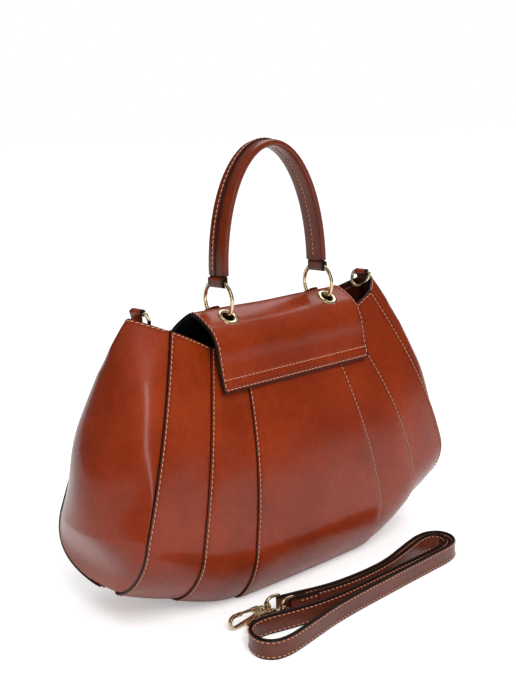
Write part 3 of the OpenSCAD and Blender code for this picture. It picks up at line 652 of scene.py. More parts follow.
def strip(s_near, s_far, offset, skived=0.7, near_sewn=False, rows_step=2.6, cols_step=3.2):
    """One strip between two places across the shell, each a function of t, from mouth to mouth.
    Rows and columns are set out in millimetres from the edges. offset gives how far the outer face lies
    from the shell at a place. Returns the sheet and the stitches of its sewn edges and mouth edges."""
    t_all = np.linspace(0, 6, 1201)
    middle = shell((s_near(t_all) + s_far(t_all)) / 2, t_all)
    run = lengths(middle)
    down = ladder(run[-1], rows_step)
    t = np.interp(down, run, t_all)
    s0, s1 = s_near(t), s_far(t)
    steps = np.diff(shell(np.linspace(0, 1, 9)[:, None] * (s1 - s0) + s0, t[None]), axis=0)
    width = np.linalg.norm(steps, axis=-1).sum(0)
    mark = ladder(width.mean(), cols_step)
    share = mark / width.mean()
    fine = np.minimum(mark, width.mean() - mark)[None] / width[:, None]
    blend_in = smooth((np.minimum(mark, width.mean() - mark) - 5.2) / 8)
    frac = np.where(share < 0.5, fine, 1 - fine)
    frac = mix(frac, share[None], blend_in[None])
    s = s0[:, None] + (s1 - s0)[:, None] * frac
    tt = np.broadcast_to(t[:, None], s.shape)
    from_near, from_far = frac * width[:, None], (1 - frac) * width[:, None]
    from_top = np.minimum(down, run[-1] - down)[:, None]
    depth = np.minimum(np.minimum(from_near, from_far), from_top)
    normal = shell_normal(s, tt)
    base = shell(s, tt)
    thin = skived * (1 - smooth(np.minimum(from_far, from_near if near_sewn else 99) / 7))
    off = offset(s, tt) + 0.18 * ripples(base, 55, 3) * smooth(depth / 12) * smooth(base[..., 2] / 20) - thin
    face = base + normal * off[..., None]
    lift = channel(from_far - edge_in) + channel(from_top - edge_in)
    if near_sewn:
        lift = lift + channel(from_near - edge_in)
    cut = np.stack([from_near, np.broadcast_to(down[:, None], s.shape)], -1) / 1000
    made = sheet(face, normal, depth, skin - thin, lift, paint=0.9, cut=cut)
    sewn = []
    ends = (down > edge_in) & (down < run[-1] - edge_in)
    for place, wanted in ((1, True), (0, near_sewn)):
        if wanted:
            inside = edge_in / width
            f = 1 - inside if place else inside
            q = s0 + (s1 - s0) * f
            line = shell(q, t)
            sunk = 0.6 * skived
            near_floor = 0.5 * (1 - smooth(line[:, 2] / 8))
            line = line + shell_normal(q, t) * (offset(q, t) - sunk - near_floor)[:, None]
            sewn.append(stitches(line[ends], shell_normal(q, t)[ends]))
    for far in (0, 1):
        down_at = run[-1] - edge_in if far else edge_in
        t_at = np.interp(down_at, run, t_all)
        a, b = s_near(np.array([t_at]))[0], s_far(np.array([t_at]))[0]
        q = np.linspace(a, b, 60)
        q = q[(np.abs(q) < abs(b) - 0.02 * abs(b - a))]
        line = shell(q, t_at) + shell_normal(q, t_at) * offset(q, np.full_like(q, t_at))[:, None]
        sewn.append(stitches(line, shell_normal(q, np.full_like(q, t_at))))
    return made, sewn


flat_on = lambda s, t: np.zeros(np.shape(s))
slopes_down = lambda k: lambda s, t: under * (1 - smooth((s - k) / 0.85))
centre, centre_sewn = strip(lambda t: -np.ones_like(t), lambda t: np.ones_like(t), flat_on, near_sewn=True)
inner, inner_sewn = strip(lambda t: lap_in(1, t), lambda t: 2 * np.ones_like(t), slopes_down(1))
outer, outer_sewn = strip(lambda t: lap_in(2, t), lambda t: 3 * np.ones_like(t), slopes_down(2), skived=0.0)
piece("centre_strip", [centre], leathers, "shell", ["centre_panel"])
piece("inner_strip_right", [inner], leathers, "shell", ["inner_panel_right"])
piece("inner_strip_left", [mirrored(inner)], leathers, "shell", ["inner_panel_left"])
piece("outer_strip_right", [outer], leathers, "shell", ["outer_panel_right"])
piece("outer_strip_left", [mirrored(outer)], leathers, "shell", ["outer_panel_left"])
side_sewn = inner_sewn + outer_sewn
strip_thread = centre_sewn + side_sewn + [mirrored(p) for p in side_sewn]
piece("strip_stitches", strip_thread, [thread_tan], "shell")

# %% [markdown]
# ## The swelling ends
# Each end panel starts under the outer strips' edges. At the mouth its section is a V with a round
# point, the ear; lower down it fills to a half ellipse, and it dies away at the keel. Cut wider than
# the gap it fills, it swells out by itself, which gives the bag its trapeze outline.

# %% End panels
ear_x = 144.5
ear_z = 251.0
bulge = 33.0
ear_round = 0.5


def swelling(t):
    """How far the end panel stands past its seam at a place down it."""
    a = np.clip(t / 0.12, 0, 1)
    top = bez2(ear_x - mouth_x[3], bulge - 3, bulge - 1, a)
    low = (bulge - 2) * np.cos(np.radians(90) * np.clip((t - 0.6) / 0.9, 0, 1)) ** 2
    return np.where(t < 0.12, top, np.where(t < 0.6, mix(bulge - 1, bulge - 2, (t - 0.12) / 0.48), low))


def end_point(a, t):
    """Point of the end panel at an angle a round it, 90 at the front seam and -90 at the back, and a
    place t down it: a V with a round point that turns into a half ellipse and then a flat bow, lifted to
    the ear's tip."""
    a, t = np.broadcast_arrays(np.asarray(a, float), np.asarray(t, float))
    s, c = np.sin(np.radians(a)), np.cos(np.radians(a))
    one = np.sqrt(1 + ear_round ** 2)
    vee = (one - np.sqrt(s * s + ear_round ** 2)) / (one - ear_round)
    f = mix(mix(vee, c, np.minimum(1, (t / 0.25) ** 0.8)), c * c, smooth((t - 0.5) / 0.4))
    three = np.full(t.shape, 3.0)
    p, q = (shell(three, u) + shell_normal(three, u) * under for u in (t, 2 * keel - t))
    w = (1 - s) / 2
    x = mix(p[..., 0], q[..., 0], w) + swelling(t) * f
    lift = (ear_z - mouth_z[3]) * np.clip(1 - t / 0.5, 0, None) ** 2
    y = s * np.where(s > 0, p[..., 1], -q[..., 1])
    return np.stack([x, y, mix(p[..., 2], q[..., 2], w) + lift * f], -1)


def end_normal(a, t):
    """Outward direction of the end panel from its slopes round and down it, kept clear of the keel."""
    b = np.clip(t, 0.01, 2.2)
    a = np.clip(a, -86, 86)
    round_it = end_point(a + 1, b) - end_point(a - 1, b)
    down_it = end_point(a, b + 0.01) - end_point(a, b - 0.01)
    return unit(np.cross(round_it, down_it))


t_all = np.linspace(0, 2.85, 900)
end_run = lengths(end_point(0.0, t_all))
down = ladder(end_run[-1], 2.6)
end_t = np.interp(down, end_run, t_all)
end_angle = np.linspace(87, -87, 67)
face = end_point(end_angle[None], end_t[:, None])
inside = 3 - (3 - lap_in(3, end_t))[:, None] * np.array([1, 0.97, 0.9, 0.75, 0.5, 0.25, 0.05])[None]
front_lap = shell(inside, end_t[:, None]) + shell_normal(inside, end_t[:, None]) * under
back_t = (6 - end_t)[:, None]
back_lap = (shell(inside, back_t) + shell_normal(inside, back_t) * under)[:, ::-1]
face = np.concatenate([front_lap, face, back_lap], 1)
normal = np.concatenate([
    shell_normal(inside, end_t[:, None]),
    end_normal(end_angle[None], end_t[:, None]),
    shell_normal(inside, back_t)[:, ::-1],
], 1)
step_across = np.linalg.norm(np.diff(face, axis=1), axis=-1)
across = np.concatenate([np.zeros((len(face), 1)), np.cumsum(step_across, 1)], 1)
from_side = np.minimum(across, across[:, -1:] - across)
from_end = np.minimum(down, end_run[-1] - down)[:, None]
depth = np.minimum(from_side, from_end)
soft = smooth((from_side - 10) / 15) * smooth(from_end / 25)
face = face + normal * (0.35 * ripples(face, 70, 11) * soft)[..., None]
lift = channel(down[:, None] - edge_in) * (from_side > lap)
cut = np.stack([across, np.broadcast_to(down[:, None], across.shape)], -1) / 1000
end_panel = sheet(face, normal, depth, skin, lift, cut=cut)
piece("end_panel_right", [end_panel], leathers, "shell", ["gusset_right"])
piece("end_panel_left", [mirrored(end_panel)], leathers, "shell", ["gusset_left"])
rim_t = np.interp(edge_in, end_run, t_all)
rim_line = end_point(np.linspace(74, -74, 120), np.full(120, rim_t))
row = int(np.argmin(np.abs(down - edge_in)))
rim_normal = unit(along(normal[row, 7:-7], np.linspace(0, lengths(normal[row, 7:-7])[-1], 120)))
rim_thread = stitches(rim_line, rim_normal)
piece("end_stitches", [rim_thread, mirrored(rim_thread)], [thread_tan], "shell")
print("end panel reaches x", round(float(face[..., 0].max()), 1), "mm")

# %% [markdown]
# ## Lining
# The lining is one thin bag of dark red hide, sewn in at the mouth and hanging just inside the strips.
# It goes once round: across the front, round the right end, across the back and round the left end.

# %% Lining
def lining_grid(t, inwards):
    """Rings of points inside the shell at places t, from the left end's middle once round and back to it."""
    def end_ring(a, tt, side):
        p = end_point(a, tt)
        down_in = p + np.array([-inwards - 7, 0, 3 + inwards])
        square_in = p - end_normal(a, tt) * (inwards - 1)
        return mix(square_in, down_in, smooth((tt - 1) / 0.5)[..., None]) * [side, 1, 1]

    tt = t[:, None]
    s = np.linspace(-2.75, 2.75, 61)[None]
    a = np.linspace(60, -60, 17)[None]
    front = shell(s, tt) - shell_normal(s, tt) * inwards
    back = (shell(s, 6 - tt) - shell_normal(s, 6 - tt) * inwards)[:, ::-1]
    wide = np.broadcast_to(tt, (len(t), 17))
    right = end_ring(np.broadcast_to(a, wide.shape), wide, 1)
    left = end_ring(np.broadcast_to(-a, wide.shape), wide, -1)
    return np.concatenate([left[:, 8:], front, right, back, left[:, :9]], 1)


t = np.concatenate([[0.02, 0.025, 0.03, 0.045], np.linspace(0.06, 2, 60), np.linspace(2.05, 2.97, 12)])
face = lining_grid(t, 2 * skin + 2 * glue + 0.9)
normal = unit(face - lining_grid(t, 2 * skin + 2 * glue + 1.4))
down_at = lengths(face[:, 40])
across_at = lengths(face[30])
depth = np.minimum(
    np.minimum(down_at, down_at[-1] - down_at)[:, None],
    np.minimum(across_at, across_at[-1] - across_at)[None],
)
face = face - normal * (0.25 * (1 + ripples(face, 45, 5)) * smooth(depth / 15))[..., None]
lining = sheet(face, normal, depth, 1.0, finishes=(0, 0, 0))
piece("lining_bag", [lining], [lining_hide], "shell", ["lining"])

# %% [markdown]
# ## Flap
# The flap is one piece of hide with a black backing. Its root is sewn flat to the back panel, it stands
# away over the mouth, and its front edge hangs over the front strips. Two rows of stitches hold the
# stiffener along the front edge. The crest dips a little between the eyelets, because the handle pulls
# up on both sides of it.

# %% Flap leather, backing and stitches
flap_half = 89.0
root_low, root_top = 167.5, 201.5
flap_line = np.array([
    [32.8, 204.4], [31.4, 212.8], [25.5, 222.5], [14, 233], [4, 240.3], [-6, 246], [-12.5, 247],
    [-23, 242], [-34, 234], [-41, 222], [-43.8, 206], [-46, 195], [-48.6, 184],
])
eyelet_seats = np.array([[-24.6, 241.15, 35.2], [-1.1, 243.55, -33.6]])
ring_x, ring_y, ring_z = 60.5, -13.0, 254.0


def through(points, count=40):
    """Smooth line through points: between two of them a cubic whose end slopes run from neighbour to
    neighbour."""
    points = np.asarray(points, float)
    p = np.concatenate([points[:1], points, points[-1:]])
    h = (np.arange(count) / count)[None, :, None]
    a, b, c, d = (p[i:len(p) - 3 + i, None] for i in range(4))
    line = 0.5 * (2 * b + (c - a) * h + (2 * a - 5 * b + 4 * c - d) * h ** 2 + (3 * b - a - 3 * c + d) * h ** 3)
    return np.concatenate([line.reshape(-1, points.shape[1]), points[-1:]])


def back_face(x, z):
    """Depth of the back panel's outer face at places x and z, found by six corrected guesses."""
    s, t = x / 50.0, np.full_like(x, 5.75)
    e = 0.01
    for _ in range(6):
        p = shell(s, t)
        gs = (shell(s + e, t) - p) / e
        gt = (shell(s, t - e) - p) / -e
        det = gs[..., 0] * gt[..., 2] - gt[..., 0] * gs[..., 2]
        dx, dz = x - p[..., 0], z - p[..., 2]
        s = s + (dx * gt[..., 2] - dz * gt[..., 0]) / det
        t = np.minimum(5.999, t + (gs[..., 0] * dz - gs[..., 2] * dx) / det)
    return shell(s, t)[..., 1]


def flap_grid(x, down):
    """Outer face of the flap at places x across it and distances down it from its root's lower edge.
    The root follows the back panel, two millimetres proud; between two heights it leaves for the flap's
    own section, which is the same all the way across but for a dip at the crest and faint swells."""
    section = through(flap_line)
    run = lengths(section)
    root = root_top - root_low
    z_root = root_low + np.minimum(down, root)
    join = np.interp(down - root - 2.9, run, section[:, 1])
    z = np.where(down < root, z_root, np.where(down < root + 2.9, root_low + down, join))
    y_free = np.interp(down - root - 2.9, run, section[:, 0])
    y_line = np.where(down < root + 2.9, 32.8 - (z - 204.4) / 6, y_free)
    xx, zz = np.broadcast_arrays(x[None], np.minimum(z, root_top)[:, None])
    y_root = back_face(xx, zz) + 2.25
    back = (down < root + 32)[:, None]
    weight = np.where(back, smooth((z[:, None] - 188) / 24), 1.0)
    y = mix(y_root, y_line[:, None], weight)
    p = np.stack([np.broadcast_to(x[None], y.shape), y, np.broadcast_to(z[:, None], y.shape)], -1)
    n = unit(np.cross(np.gradient(p, axis=1), np.gradient(p, axis=0)))
    n = n * np.sign(n[len(down) // 2, len(x) // 2, 2])
    crest = np.exp(-(((p[..., 1] + 12) / 22) ** 2)) * (p[..., 2] > 225)
    dip = -0.9 * np.exp(-((p[..., 0] / 34) ** 2)) * crest
    return p + n * (dip + 0.12 * ripples(p, 60, 21))[..., None], n


def punched(p, reach):
    """The same part without the faces within a distance of the four eyelets' axes."""
    keep = np.ones(len(p["faces"]), bool)
    middle = p["points"][p["faces"]].mean(1)
    for x in (-ring_x, ring_x):
        for y, z, lean in eyelet_seats:
            axis = turn_x(lean) @ [0, 0, 1]
            d = middle - [x, y, z]
            off = d - (d @ axis)[:, None] * axis
            keep &= (np.linalg.norm(off, axis=1) > reach) | (np.abs(d @ axis) > 9)
    return dict(p, faces=p["faces"][keep], finish=p["finish"][keep], cut=p["cut"][keep])


flap_length = root_top - root_low + 2.9 + lengths(through(flap_line))[-1]
x = ladder(2 * flap_half, 1.9) - flap_half
down = ladder(flap_length, 1.7)
face, normal = flap_grid(x, down)
from_side = flap_half - np.abs(x)[None]
from_front = (flap_length - down)[:, None]
from_root = down[:, None]
depth = np.minimum(np.minimum(from_side, from_front), from_root)
second_row = 10.6
lift = channel(from_side - edge_in) + channel(from_front - edge_in) + channel(from_front - second_row)
lift = lift + channel(from_root - edge_in) + channel(from_root - second_row)
cut = np.stack(np.broadcast_arrays(x[None], down[:, None]), -1) / 1000
flap_part = punched(sheet(face, normal, depth, 2.0, lift, paint=1.0, cut=cut), 6.3)
flap = piece("flap_leather", [flap_part], leathers, None, ["flap", "flap_root"])
backing_rows = down > 42
inner_face = face[backing_rows][:, 3:-3] - normal[backing_rows][:, 3:-3] * 2.04
inner_down = down[backing_rows]
back_x = x[3:-3]
depth_back = np.minimum(
    (flap_half - 0.65 - np.abs(back_x))[None],
    np.minimum(inner_down - inner_down[0], inner_down[-1] - inner_down)[:, None],
)
backing = punched(sheet(inner_face, normal[backing_rows][:, 3:-3], depth_back, 1.2, finishes=(0, 0, 0)), 6.3)
flap_lining = piece("flap_backing", [backing], [flap_back], None, ["flap_lining"])


def flap_row(x_line, down_line):
    """Stitches along a line given by places across and down the flap."""
    fine_x = np.linspace(-flap_half, flap_half, 179)
    fine_d = np.linspace(0, flap_length, 260)
    p, n = flap_grid(fine_x, fine_d)
    i = np.interp(down_line, fine_d, np.arange(260))
    j = np.interp(x_line, fine_x, np.arange(179))
    i0, j0 = np.minimum(i.astype(int), 258), np.minimum(j.astype(int), 177)
    u, v = (i - i0)[:, None], (j - j0)[:, None]
    pick = lambda g: mix(mix(g[i0, j0], g[i0, j0 + 1], v), mix(g[i0 + 1, j0], g[i0 + 1, j0 + 1], v), u)
    return stitches(pick(p), unit(pick(n)))


side_at = flap_half - edge_in
level = lambda d: (np.linspace(-side_at, side_at, 200), np.full(200, d))
upright = lambda s, a, b: (np.full(300, s * side_at), np.linspace(a, b, 300))
rows = [level(flap_length - edge_in), level(flap_length - second_row), level(edge_in), level(second_row)]
rows += [upright(s, edge_in + 2, flap_length - edge_in - 2) for s in (-1, 1)]
flap_thread = piece("flap_stitches", [flap_row(*r) for r in rows], [thread_tan], None)
for obj in (flap, flap_lining, flap_thread):
    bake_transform(obj)
print("flap length over the crest, mm:", round(float(flap_length), 1))

# %% [markdown]
# ## Eyelets and handle rings
# Each handle ring passes through two eyelets, one on each side of the flap's crest. An eyelet is a
# rolled collar with a domed flange on top and a flat washer underneath.

# %% Eyelets, washers and rings
collar = np.concatenate([
    [[5.3, -5.3], [5.3, -2.0], [5.3, 0.1]],
    bead(5.95, 0.15, 0.65, 0.72, 7, 180, 100),
    bead(7.4, 0.1, 2.0, 0.92, 12, 110, 8),
    [[9.35, 0.02], [8.8, -0.02], [6.2, -0.02], [5.9, -0.4], [5.9, -5.3]],
])
washer = np.concatenate([[[5.96, -5.4], [5.96, -4.8]], bead(7.2, -5.1, 0.35, 0.3, 7, 90, -90)])
seats = [(sx, seat) for sx in (-ring_x, ring_x) for seat in eyelet_seats]
collars = [placed(turned(collar), turn_x(e[2]), [sx, e[0], e[1]]) for sx, e in seats]
washers = [placed(turned(washer), turn_x(e[2]), [sx, e[0], e[1]]) for sx, e in seats]
piece("eyelet_collars", collars, [gold], "flap", ["eyelets"])
piece("eyelet_backs", washers, [gold], "flap", ["eyelet_washers"])
turn = np.radians(np.arange(0, 360, 2.5))
ring_line = np.column_stack([np.zeros(144), 17 * np.cos(turn), 17 * np.sin(turn)])
for side, name in ((-1, "left"), (1, "right")):
    ring = tube(ring_line, [1, 0, 0], 1.75, closed=True, sides=28)
    ring = placed(ring, np.eye(3), [side * ring_x, ring_y, ring_z])
    piece(f"handle_ring_{name}", [ring], [gold], f"ring_{name}", [f"ring_{name}"])

# %% [markdown]
# ## Handle
# The handle is a core wrapped in one piece of hide. Its outer face carries the closing seam: the back
# half laps over the front half with a painted edge, and the stitches run beside that edge. The inner
# face has one row of stitches, and bending has pushed it into fine wrinkles under the crest.

# %% Handle
arch_w, arch_h, arch_z = 59.0, 107.2, 274.6
handle_w, handle_t = 22.0, 6.8
seam_y, seam_step = 0.6, 0.9


def arch(a):
    """Point of the handle's middle line at angles a, 0 at the left foot and 180 at the right."""
    a = np.radians(a)
    return np.stack([-arch_w * np.cos(a), np.full_like(a, ring_y), arch_z + arch_h * np.sin(a)], -1)


def arch_out(a):
    """Outward direction of the arch: the normal of its ellipse."""
    a = np.radians(a)
    return unit(np.stack([-np.cos(a) / arch_w, np.zeros_like(a), np.sin(a) / arch_h], -1))


def face_height(y):
    """Half thickness of the handle at a place across it: a squarish oval."""
    return handle_t / 2 * np.clip(1 - np.abs(y / (handle_w / 2)) ** 3.33, 0, None) ** 0.3


a_all = np.linspace(0, 180, 1500)
arch_run = lengths(arch(a_all))
places = ladder(arch_run[-1], 1.3)
angle = np.interp(places, arch_run, a_all)
y_out = np.concatenate([
    np.linspace(-11, -9.6, 9),
    np.linspace(-9, seam_y - 0.35, 16),
    seam_y + np.array([-0.1, 0.0, 0.06, 0.3, 0.7]),
    np.linspace(seam_y + 1.2, 9, 14),
    np.linspace(9.6, 11, 9),
])
y_in = np.concatenate([np.linspace(10.9, 9.6, 8), np.linspace(9, -9, 31), np.linspace(-9.6, -10.9, 8)])
over = smooth((y_out - seam_y + 0.1) / 0.16) * np.exp(-np.clip(y_out - seam_y, 0, None) / 9)
out_height = face_height(y_out) + seam_step * over * smooth((11 - np.abs(y_out)) / 2)
groove = 0.25 * np.exp(-(((y_out - seam_y + 0.5) / 0.5) ** 2))
out_height = out_height + channel(y_out - seam_y - 2.6, 0.3) - groove
in_height = -face_height(y_in) - channel(y_in, 0.35)
ring_yy = np.concatenate([y_out, y_in])
height = np.broadcast_to(np.concatenate([out_height, in_height]), (len(places), len(ring_yy))).copy()
from_foot = np.minimum(places, arch_run[-1] - places)
rounding = np.sqrt(np.clip(1 - np.clip(1 - from_foot / 1.0, 0, 1) ** 2, 0, 1)) * 0.28 + 0.72
height = height * rounding[:, None]
crest = np.exp(-(((angle - 92) / 38) ** 2))[:, None]
inside_face = np.zeros(len(ring_yy))
inside_face[len(y_out):] = smooth((10.8 - np.abs(y_in)) / 4)
wander = 0.9 * np.sin(places[:, None] * 0.31 + ring_yy[None] * 0.22)
wave = places[:, None] * 1.75 + wander + 0.5 * np.sin(ring_yy[None] * 0.6)
uneven = 0.55 + 0.45 * np.sin(places[:, None] * 0.37 + 1.3 * np.sin(ring_yy[None] * 0.25))
fold = np.clip(np.sin(wave), -0.4, 1) * 0.42 * uneven
height = height - fold * crest * inside_face[None]
centre_line, outwards = arch(angle), arch_out(angle)
grid = centre_line[:, None] + outwards[:, None] * height[..., None]
narrowing = np.array([0, 1, 0]) * np.where(from_foot < 1, rounding, 1)[:, None]
grid = grid + ring_yy[None, :, None] * narrowing[:, None]
rows, cols = grid.shape[:2]
idx = np.arange(rows * cols).reshape(rows, cols)
around = np.hstack([idx, idx[:, :1]])
faces = grid_faces(around)
column = np.broadcast_to(np.arange(cols), (rows - 1, cols)).ravel()
wall = (column >= 24) & (column <= 26)
finish = np.where(wall, 1, 0)
foot_row = np.repeat(np.arange(rows - 1), cols)
finish = np.where((foot_row < 3) | (foot_row > rows - 5), 1, finish)
n_out = len(y_out)
k = np.arange(0, min(n_out, cols - n_out) - 1)
lid = np.column_stack([k, k + 1, cols - 2 - k, cols - 1 - k])
faces = np.concatenate([faces, lid[:, ::-1], lid + (rows - 1) * cols])
finish = np.concatenate([finish, np.ones(2 * len(lid), int)])
edge_at = np.minimum(np.abs(ring_yy - seam_y), 6)
edge_at[n_out:] = 6.0
edge_mark = np.minimum(np.broadcast_to(edge_at, (rows, cols)), from_foot[:, None] + 0.5).ravel()
flat_place = np.stack(np.broadcast_arrays(ring_yy[None], places[:, None]), -1).reshape(-1, 2) / 1000
cover = part(grid.reshape(-1, 3), faces, finish, flat_place[faces], edge_mark)
handle_nodes = ["handle_cover", "handle_core"]
# The cover takes the darker handle hide, whose extra darkness is painted shade.
handle = piece("handle_cover_sewn", [cover], handle_shaded_leathers, "handle", handle_nodes)
line_a = np.linspace(2.2, 177.8, 500)
top_y = seam_y + 2.6
top = arch(line_a) + arch_out(line_a) * (face_height(np.array(top_y)) + seam_step * 0.7) + [0, top_y, 0]
bottom = arch(line_a) - arch_out(line_a) * (handle_t / 2 - 0.1)
handle_thread = [stitches(top, arch_out(line_a)), stitches(bottom, -arch_out(line_a), length=2.9)]
piece("handle_stitches", handle_thread, [thread_tan], "handle")

# %% [markdown]
# Each foot of the handle holds a short strip of the same hide folded round its ring. The strip's two
# ends go up inside the handle, and its sides are painted like every other cut edge.

# %% Handle loops
def folded(line, width, thick, body_finishes, step=1.4):
    """A strip folded along a flat line of x and z places, its width lying along y, outer face outwards."""
    line = along(line, ladder(lengths(line)[-1], 0.5, (0.0, 0.15, 0.4, 0.8)))
    y = ladder(width, step, (0.0, 0.12, 0.3, 0.6, 1.0)) - width / 2
    face = np.stack([
        np.broadcast_to(line[:, None, 0], (len(line), len(y))),
        np.broadcast_to(y[None], (len(line), len(y))),
        np.broadcast_to(line[:, None, 1], (len(line), len(y))),
    ], -1)
    ahead = unit(np.gradient(line, axis=0))
    outwards = np.stack([-ahead[:, 1], np.zeros(len(line)), ahead[:, 0]], -1)
    normal = np.broadcast_to(outwards[:, None], face.shape)
    run = lengths(line)
    depth = np.minimum((width / 2 - np.abs(y))[None], np.minimum(run, run[-1] - run)[:, None])
    cut = np.stack(np.broadcast_arrays(y[None], run[:, None]), -1) / 1000
    return sheet(face, normal, depth, thick, finishes=body_finishes, paint=1.0, cut=cut)


leaf, gap, low, neck = 1.3, 2.2, 268.2, 272.8
lean = arch_w - 0.1 - ring_x
out = gap + leaf
curve = np.radians(np.linspace(0, -180, 40))
loop_line = np.concatenate([
    [[lean + leaf, arch_z + 5], [lean + leaf, arch_z + 0.3], [out, neck]],
    np.column_stack([out * np.cos(curve), low + out * np.sin(curve)]),
    [[-out, neck], [lean - leaf, arch_z + 0.3], [lean - leaf, arch_z + 5]],
])
loop = folded(loop_line, 18.0, leaf, (0, 1, 2))
turn_loop = placed(loop, np.eye(3), [ring_x, ring_y, 0])
# The loops take the same darker handle hide, painted shade like the cover's.
piece("ring_loop_right", [turn_loop], handle_shaded_leathers, "handle", ["handle_loop_right"])
piece("ring_loop_left", [mirrored(turn_loop)], handle_shaded_leathers, "handle", ["handle_loop_left"])

# %% [markdown]
# ## Ear rings
# At each ear a rolled tab holds a wire ring for the shoulder strap. Its tail is sewn down the inside of
# the ear, and the ring leans inwards on the two walls of the ear.

# %% Ear rings and their tabs
def dee(half, leg, corner, step=0.5):
    """Flat line of a D: a straight bar with small round corners, two legs and a half circle."""
    a = np.radians(np.linspace(180, 90, 7))
    bend = np.column_stack([corner + corner * np.cos(a), half - corner + corner * np.sin(a)])
    b = np.radians(np.linspace(90, 0, 24))
    bow_line = np.column_stack([leg + half * np.cos(b), half * np.sin(b)])
    top = np.concatenate([[[0, 0]], bend, bow_line])
    low_half = (top * [1, -1])[::-1]
    line = np.concatenate([top, low_half[1:-1]])
    whole = np.concatenate([line, line[:1]])
    run = lengths(whole)[-1]
    return along(whole, np.linspace(0, run, int(run / step), endpoint=False))


dring_x, dring_z, dring_r = 135.7, 253.5, 1.5
half_bar = (17.5 + 2 * dring_r) / 2
flat_dee = dee(half_bar, 4.0, 1.7)
dee_line = np.column_stack([np.zeros(len(flat_dee)), flat_dee[:, 1], -flat_dee[:, 0]])
ear_ring = placed(tube(dee_line, [1, 0, 0], dring_r, closed=True), turn_y(27), [dring_x, 0, dring_z])
piece("ear_ring_right", [ear_ring], [gold], "dring_right", ["dring_right"])
piece("ear_ring_left", [mirrored(ear_ring)], [gold], "dring_left", ["dring_left"])
roll = np.radians(np.linspace(-52, 262, 60))
roll_r = dring_r + 0.15 + 1.5
tab_line = np.concatenate([
    [[9.3, -21.0], [5.7, -14.0], [3.6, -9.5], [2.2, -5.2]],
    np.column_stack([roll_r * np.cos(roll), roll_r * np.sin(roll)])[4:],
])
tab_line = np.concatenate([through(tab_line[:5], 8)[:-1], tab_line[4:]])
tab = placed(folded(tab_line[::-1], 14.5, 1.5, (0, 1, 2)), np.eye(3), [dring_x, 0, dring_z])
piece("ear_tab_right", [tab], leathers, "shell", ["dring_tab_right"])
piece("ear_tab_left", [mirrored(tab)], leathers, "shell", ["dring_tab_left"])

# %% [markdown]
# ## Shoulder strap
# The strap is a flat band of darker hide, doubled, with painted edges and a row of stitches along both
# edges on both faces. It lies on its edge on the floor in three runs, one inside the other, with both
# ends at the bag's left.

# %% Strap band
strap_w, strap_t = 17.0, 3.2
strap_route = np.array([
    [-72, -90.5], [-57, -95], [-40, -100.5], [-24, -104], [-6, -106], [14, -106.8],
    [32, -106], [50, -103.3], [70, -98.2], [90, -93.2], [106, -90.4], [118, -91.6],
    [126, -97.5], [128, -106.5], [124.5, -116], [116, -122.8], [102, -126], [80, -127.2],
    [48, -128.6], [12, -130.6], [-24, -132.6], [-56, -135.6], [-80, -139.6], [-100, -143.2],
    [-118, -145.6], [-131, -143.6], [-137.6, -136], [-137.6, -126], [-132.6, -116], [-123, -109],
    [-110, -108.3], [-96, -112], [-80, -116.3], [-60, -120.6], [-36, -123], [-8, -123.2],
    [24, -122.6], [56, -122], [84, -121.6], [102, -120.4], [114, -116], [120.5, -108],
    [119.5, -100.5], [112, -96.2], [100, -96.6], [82, -100.8], [62, -105.6], [40, -109.8],
    [18, -111.8], [-6, -111.8], [-26, -109.6], [-46, -105.8], [-66, -101.5],
])
strap_finishes = [strap_hide, edge_paint]
strap_line = through(strap_route, 24)
strap_length = lengths(strap_line)[-1]
places = ladder(strap_length, 1.5)
middle = along(strap_line, places)
ahead = unit(np.gradient(middle, axis=0))
sideways = np.column_stack([ahead[:, 1], -ahead[:, 0], np.zeros(len(ahead))])
z = ladder(strap_w, 1.2)
up_band = np.broadcast_to(z[None, :, None], (len(places), len(z), 1))
normal = np.broadcast_to(sideways[:, None], (len(places), len(z), 3))
flat_middle = np.broadcast_to(middle[:, None], (len(places), len(z), 2))
face = np.concatenate([flat_middle, up_band], -1) + normal * strap_t / 2
depth = np.minimum(np.minimum(z, strap_w - z)[None], np.minimum(places, strap_length - places)[:, None])
puff = 0.12 * smooth((depth - 3.2) / 3) + channel(np.minimum(z, strap_w - z)[None] - 2.6, 0.25)
cut = np.stack(np.broadcast_arrays(z[None], places[:, None]), -1) / 1000
band = sheet(face, normal, depth, strap_t, puff, finishes=(0, 1, 0), paint=0.85, cut=cut)
piece("strap_band_sewn", [band], strap_finishes, "strap", ["strap_band"])
strap_thread = []
for height_at in (2.6, strap_w - 2.6):
    for side in (-1, 1):
        line = np.column_stack([middle, np.full(len(middle), height_at)]) + sideways * side * (strap_t / 2)
        strap_thread.append(stitches(line[6:-6], sideways[6:-6] * side, length=2.9))
piece("strap_stitches", strap_thread, [thread_tan], "strap")
print("shoulder strap band length, mm:", round(float(strap_length), 1))

# %% [markdown]
# ## Strap ends
# At each end a folded tab holds a wire bow, and a snap hook turns on a post in the bow's hub. The hook
# is an open oval rim with a thin gate that closes its mouth from inside.

# %% Strap ends: tabs, bows, hooks and gates
ends = {"a": (-72, -90.5, 163, 12, 5.2), "b": (-66, -101.5, 168, 12, 5.2)}
tab_len, tab_w, tab_z, bar_out, bow_wire = 24.0, 12.5, 9.6, 3.4, 1.4
bow_leg = 5.0
bow_half = tab_w / 2 + 0.5 + bow_wire
hub_x = bow_leg + bow_half - 1.6
hub_len = 2.6
hook_len, tip_r = 38.0, 6.3
pivot = np.array([10.6, 3.1])


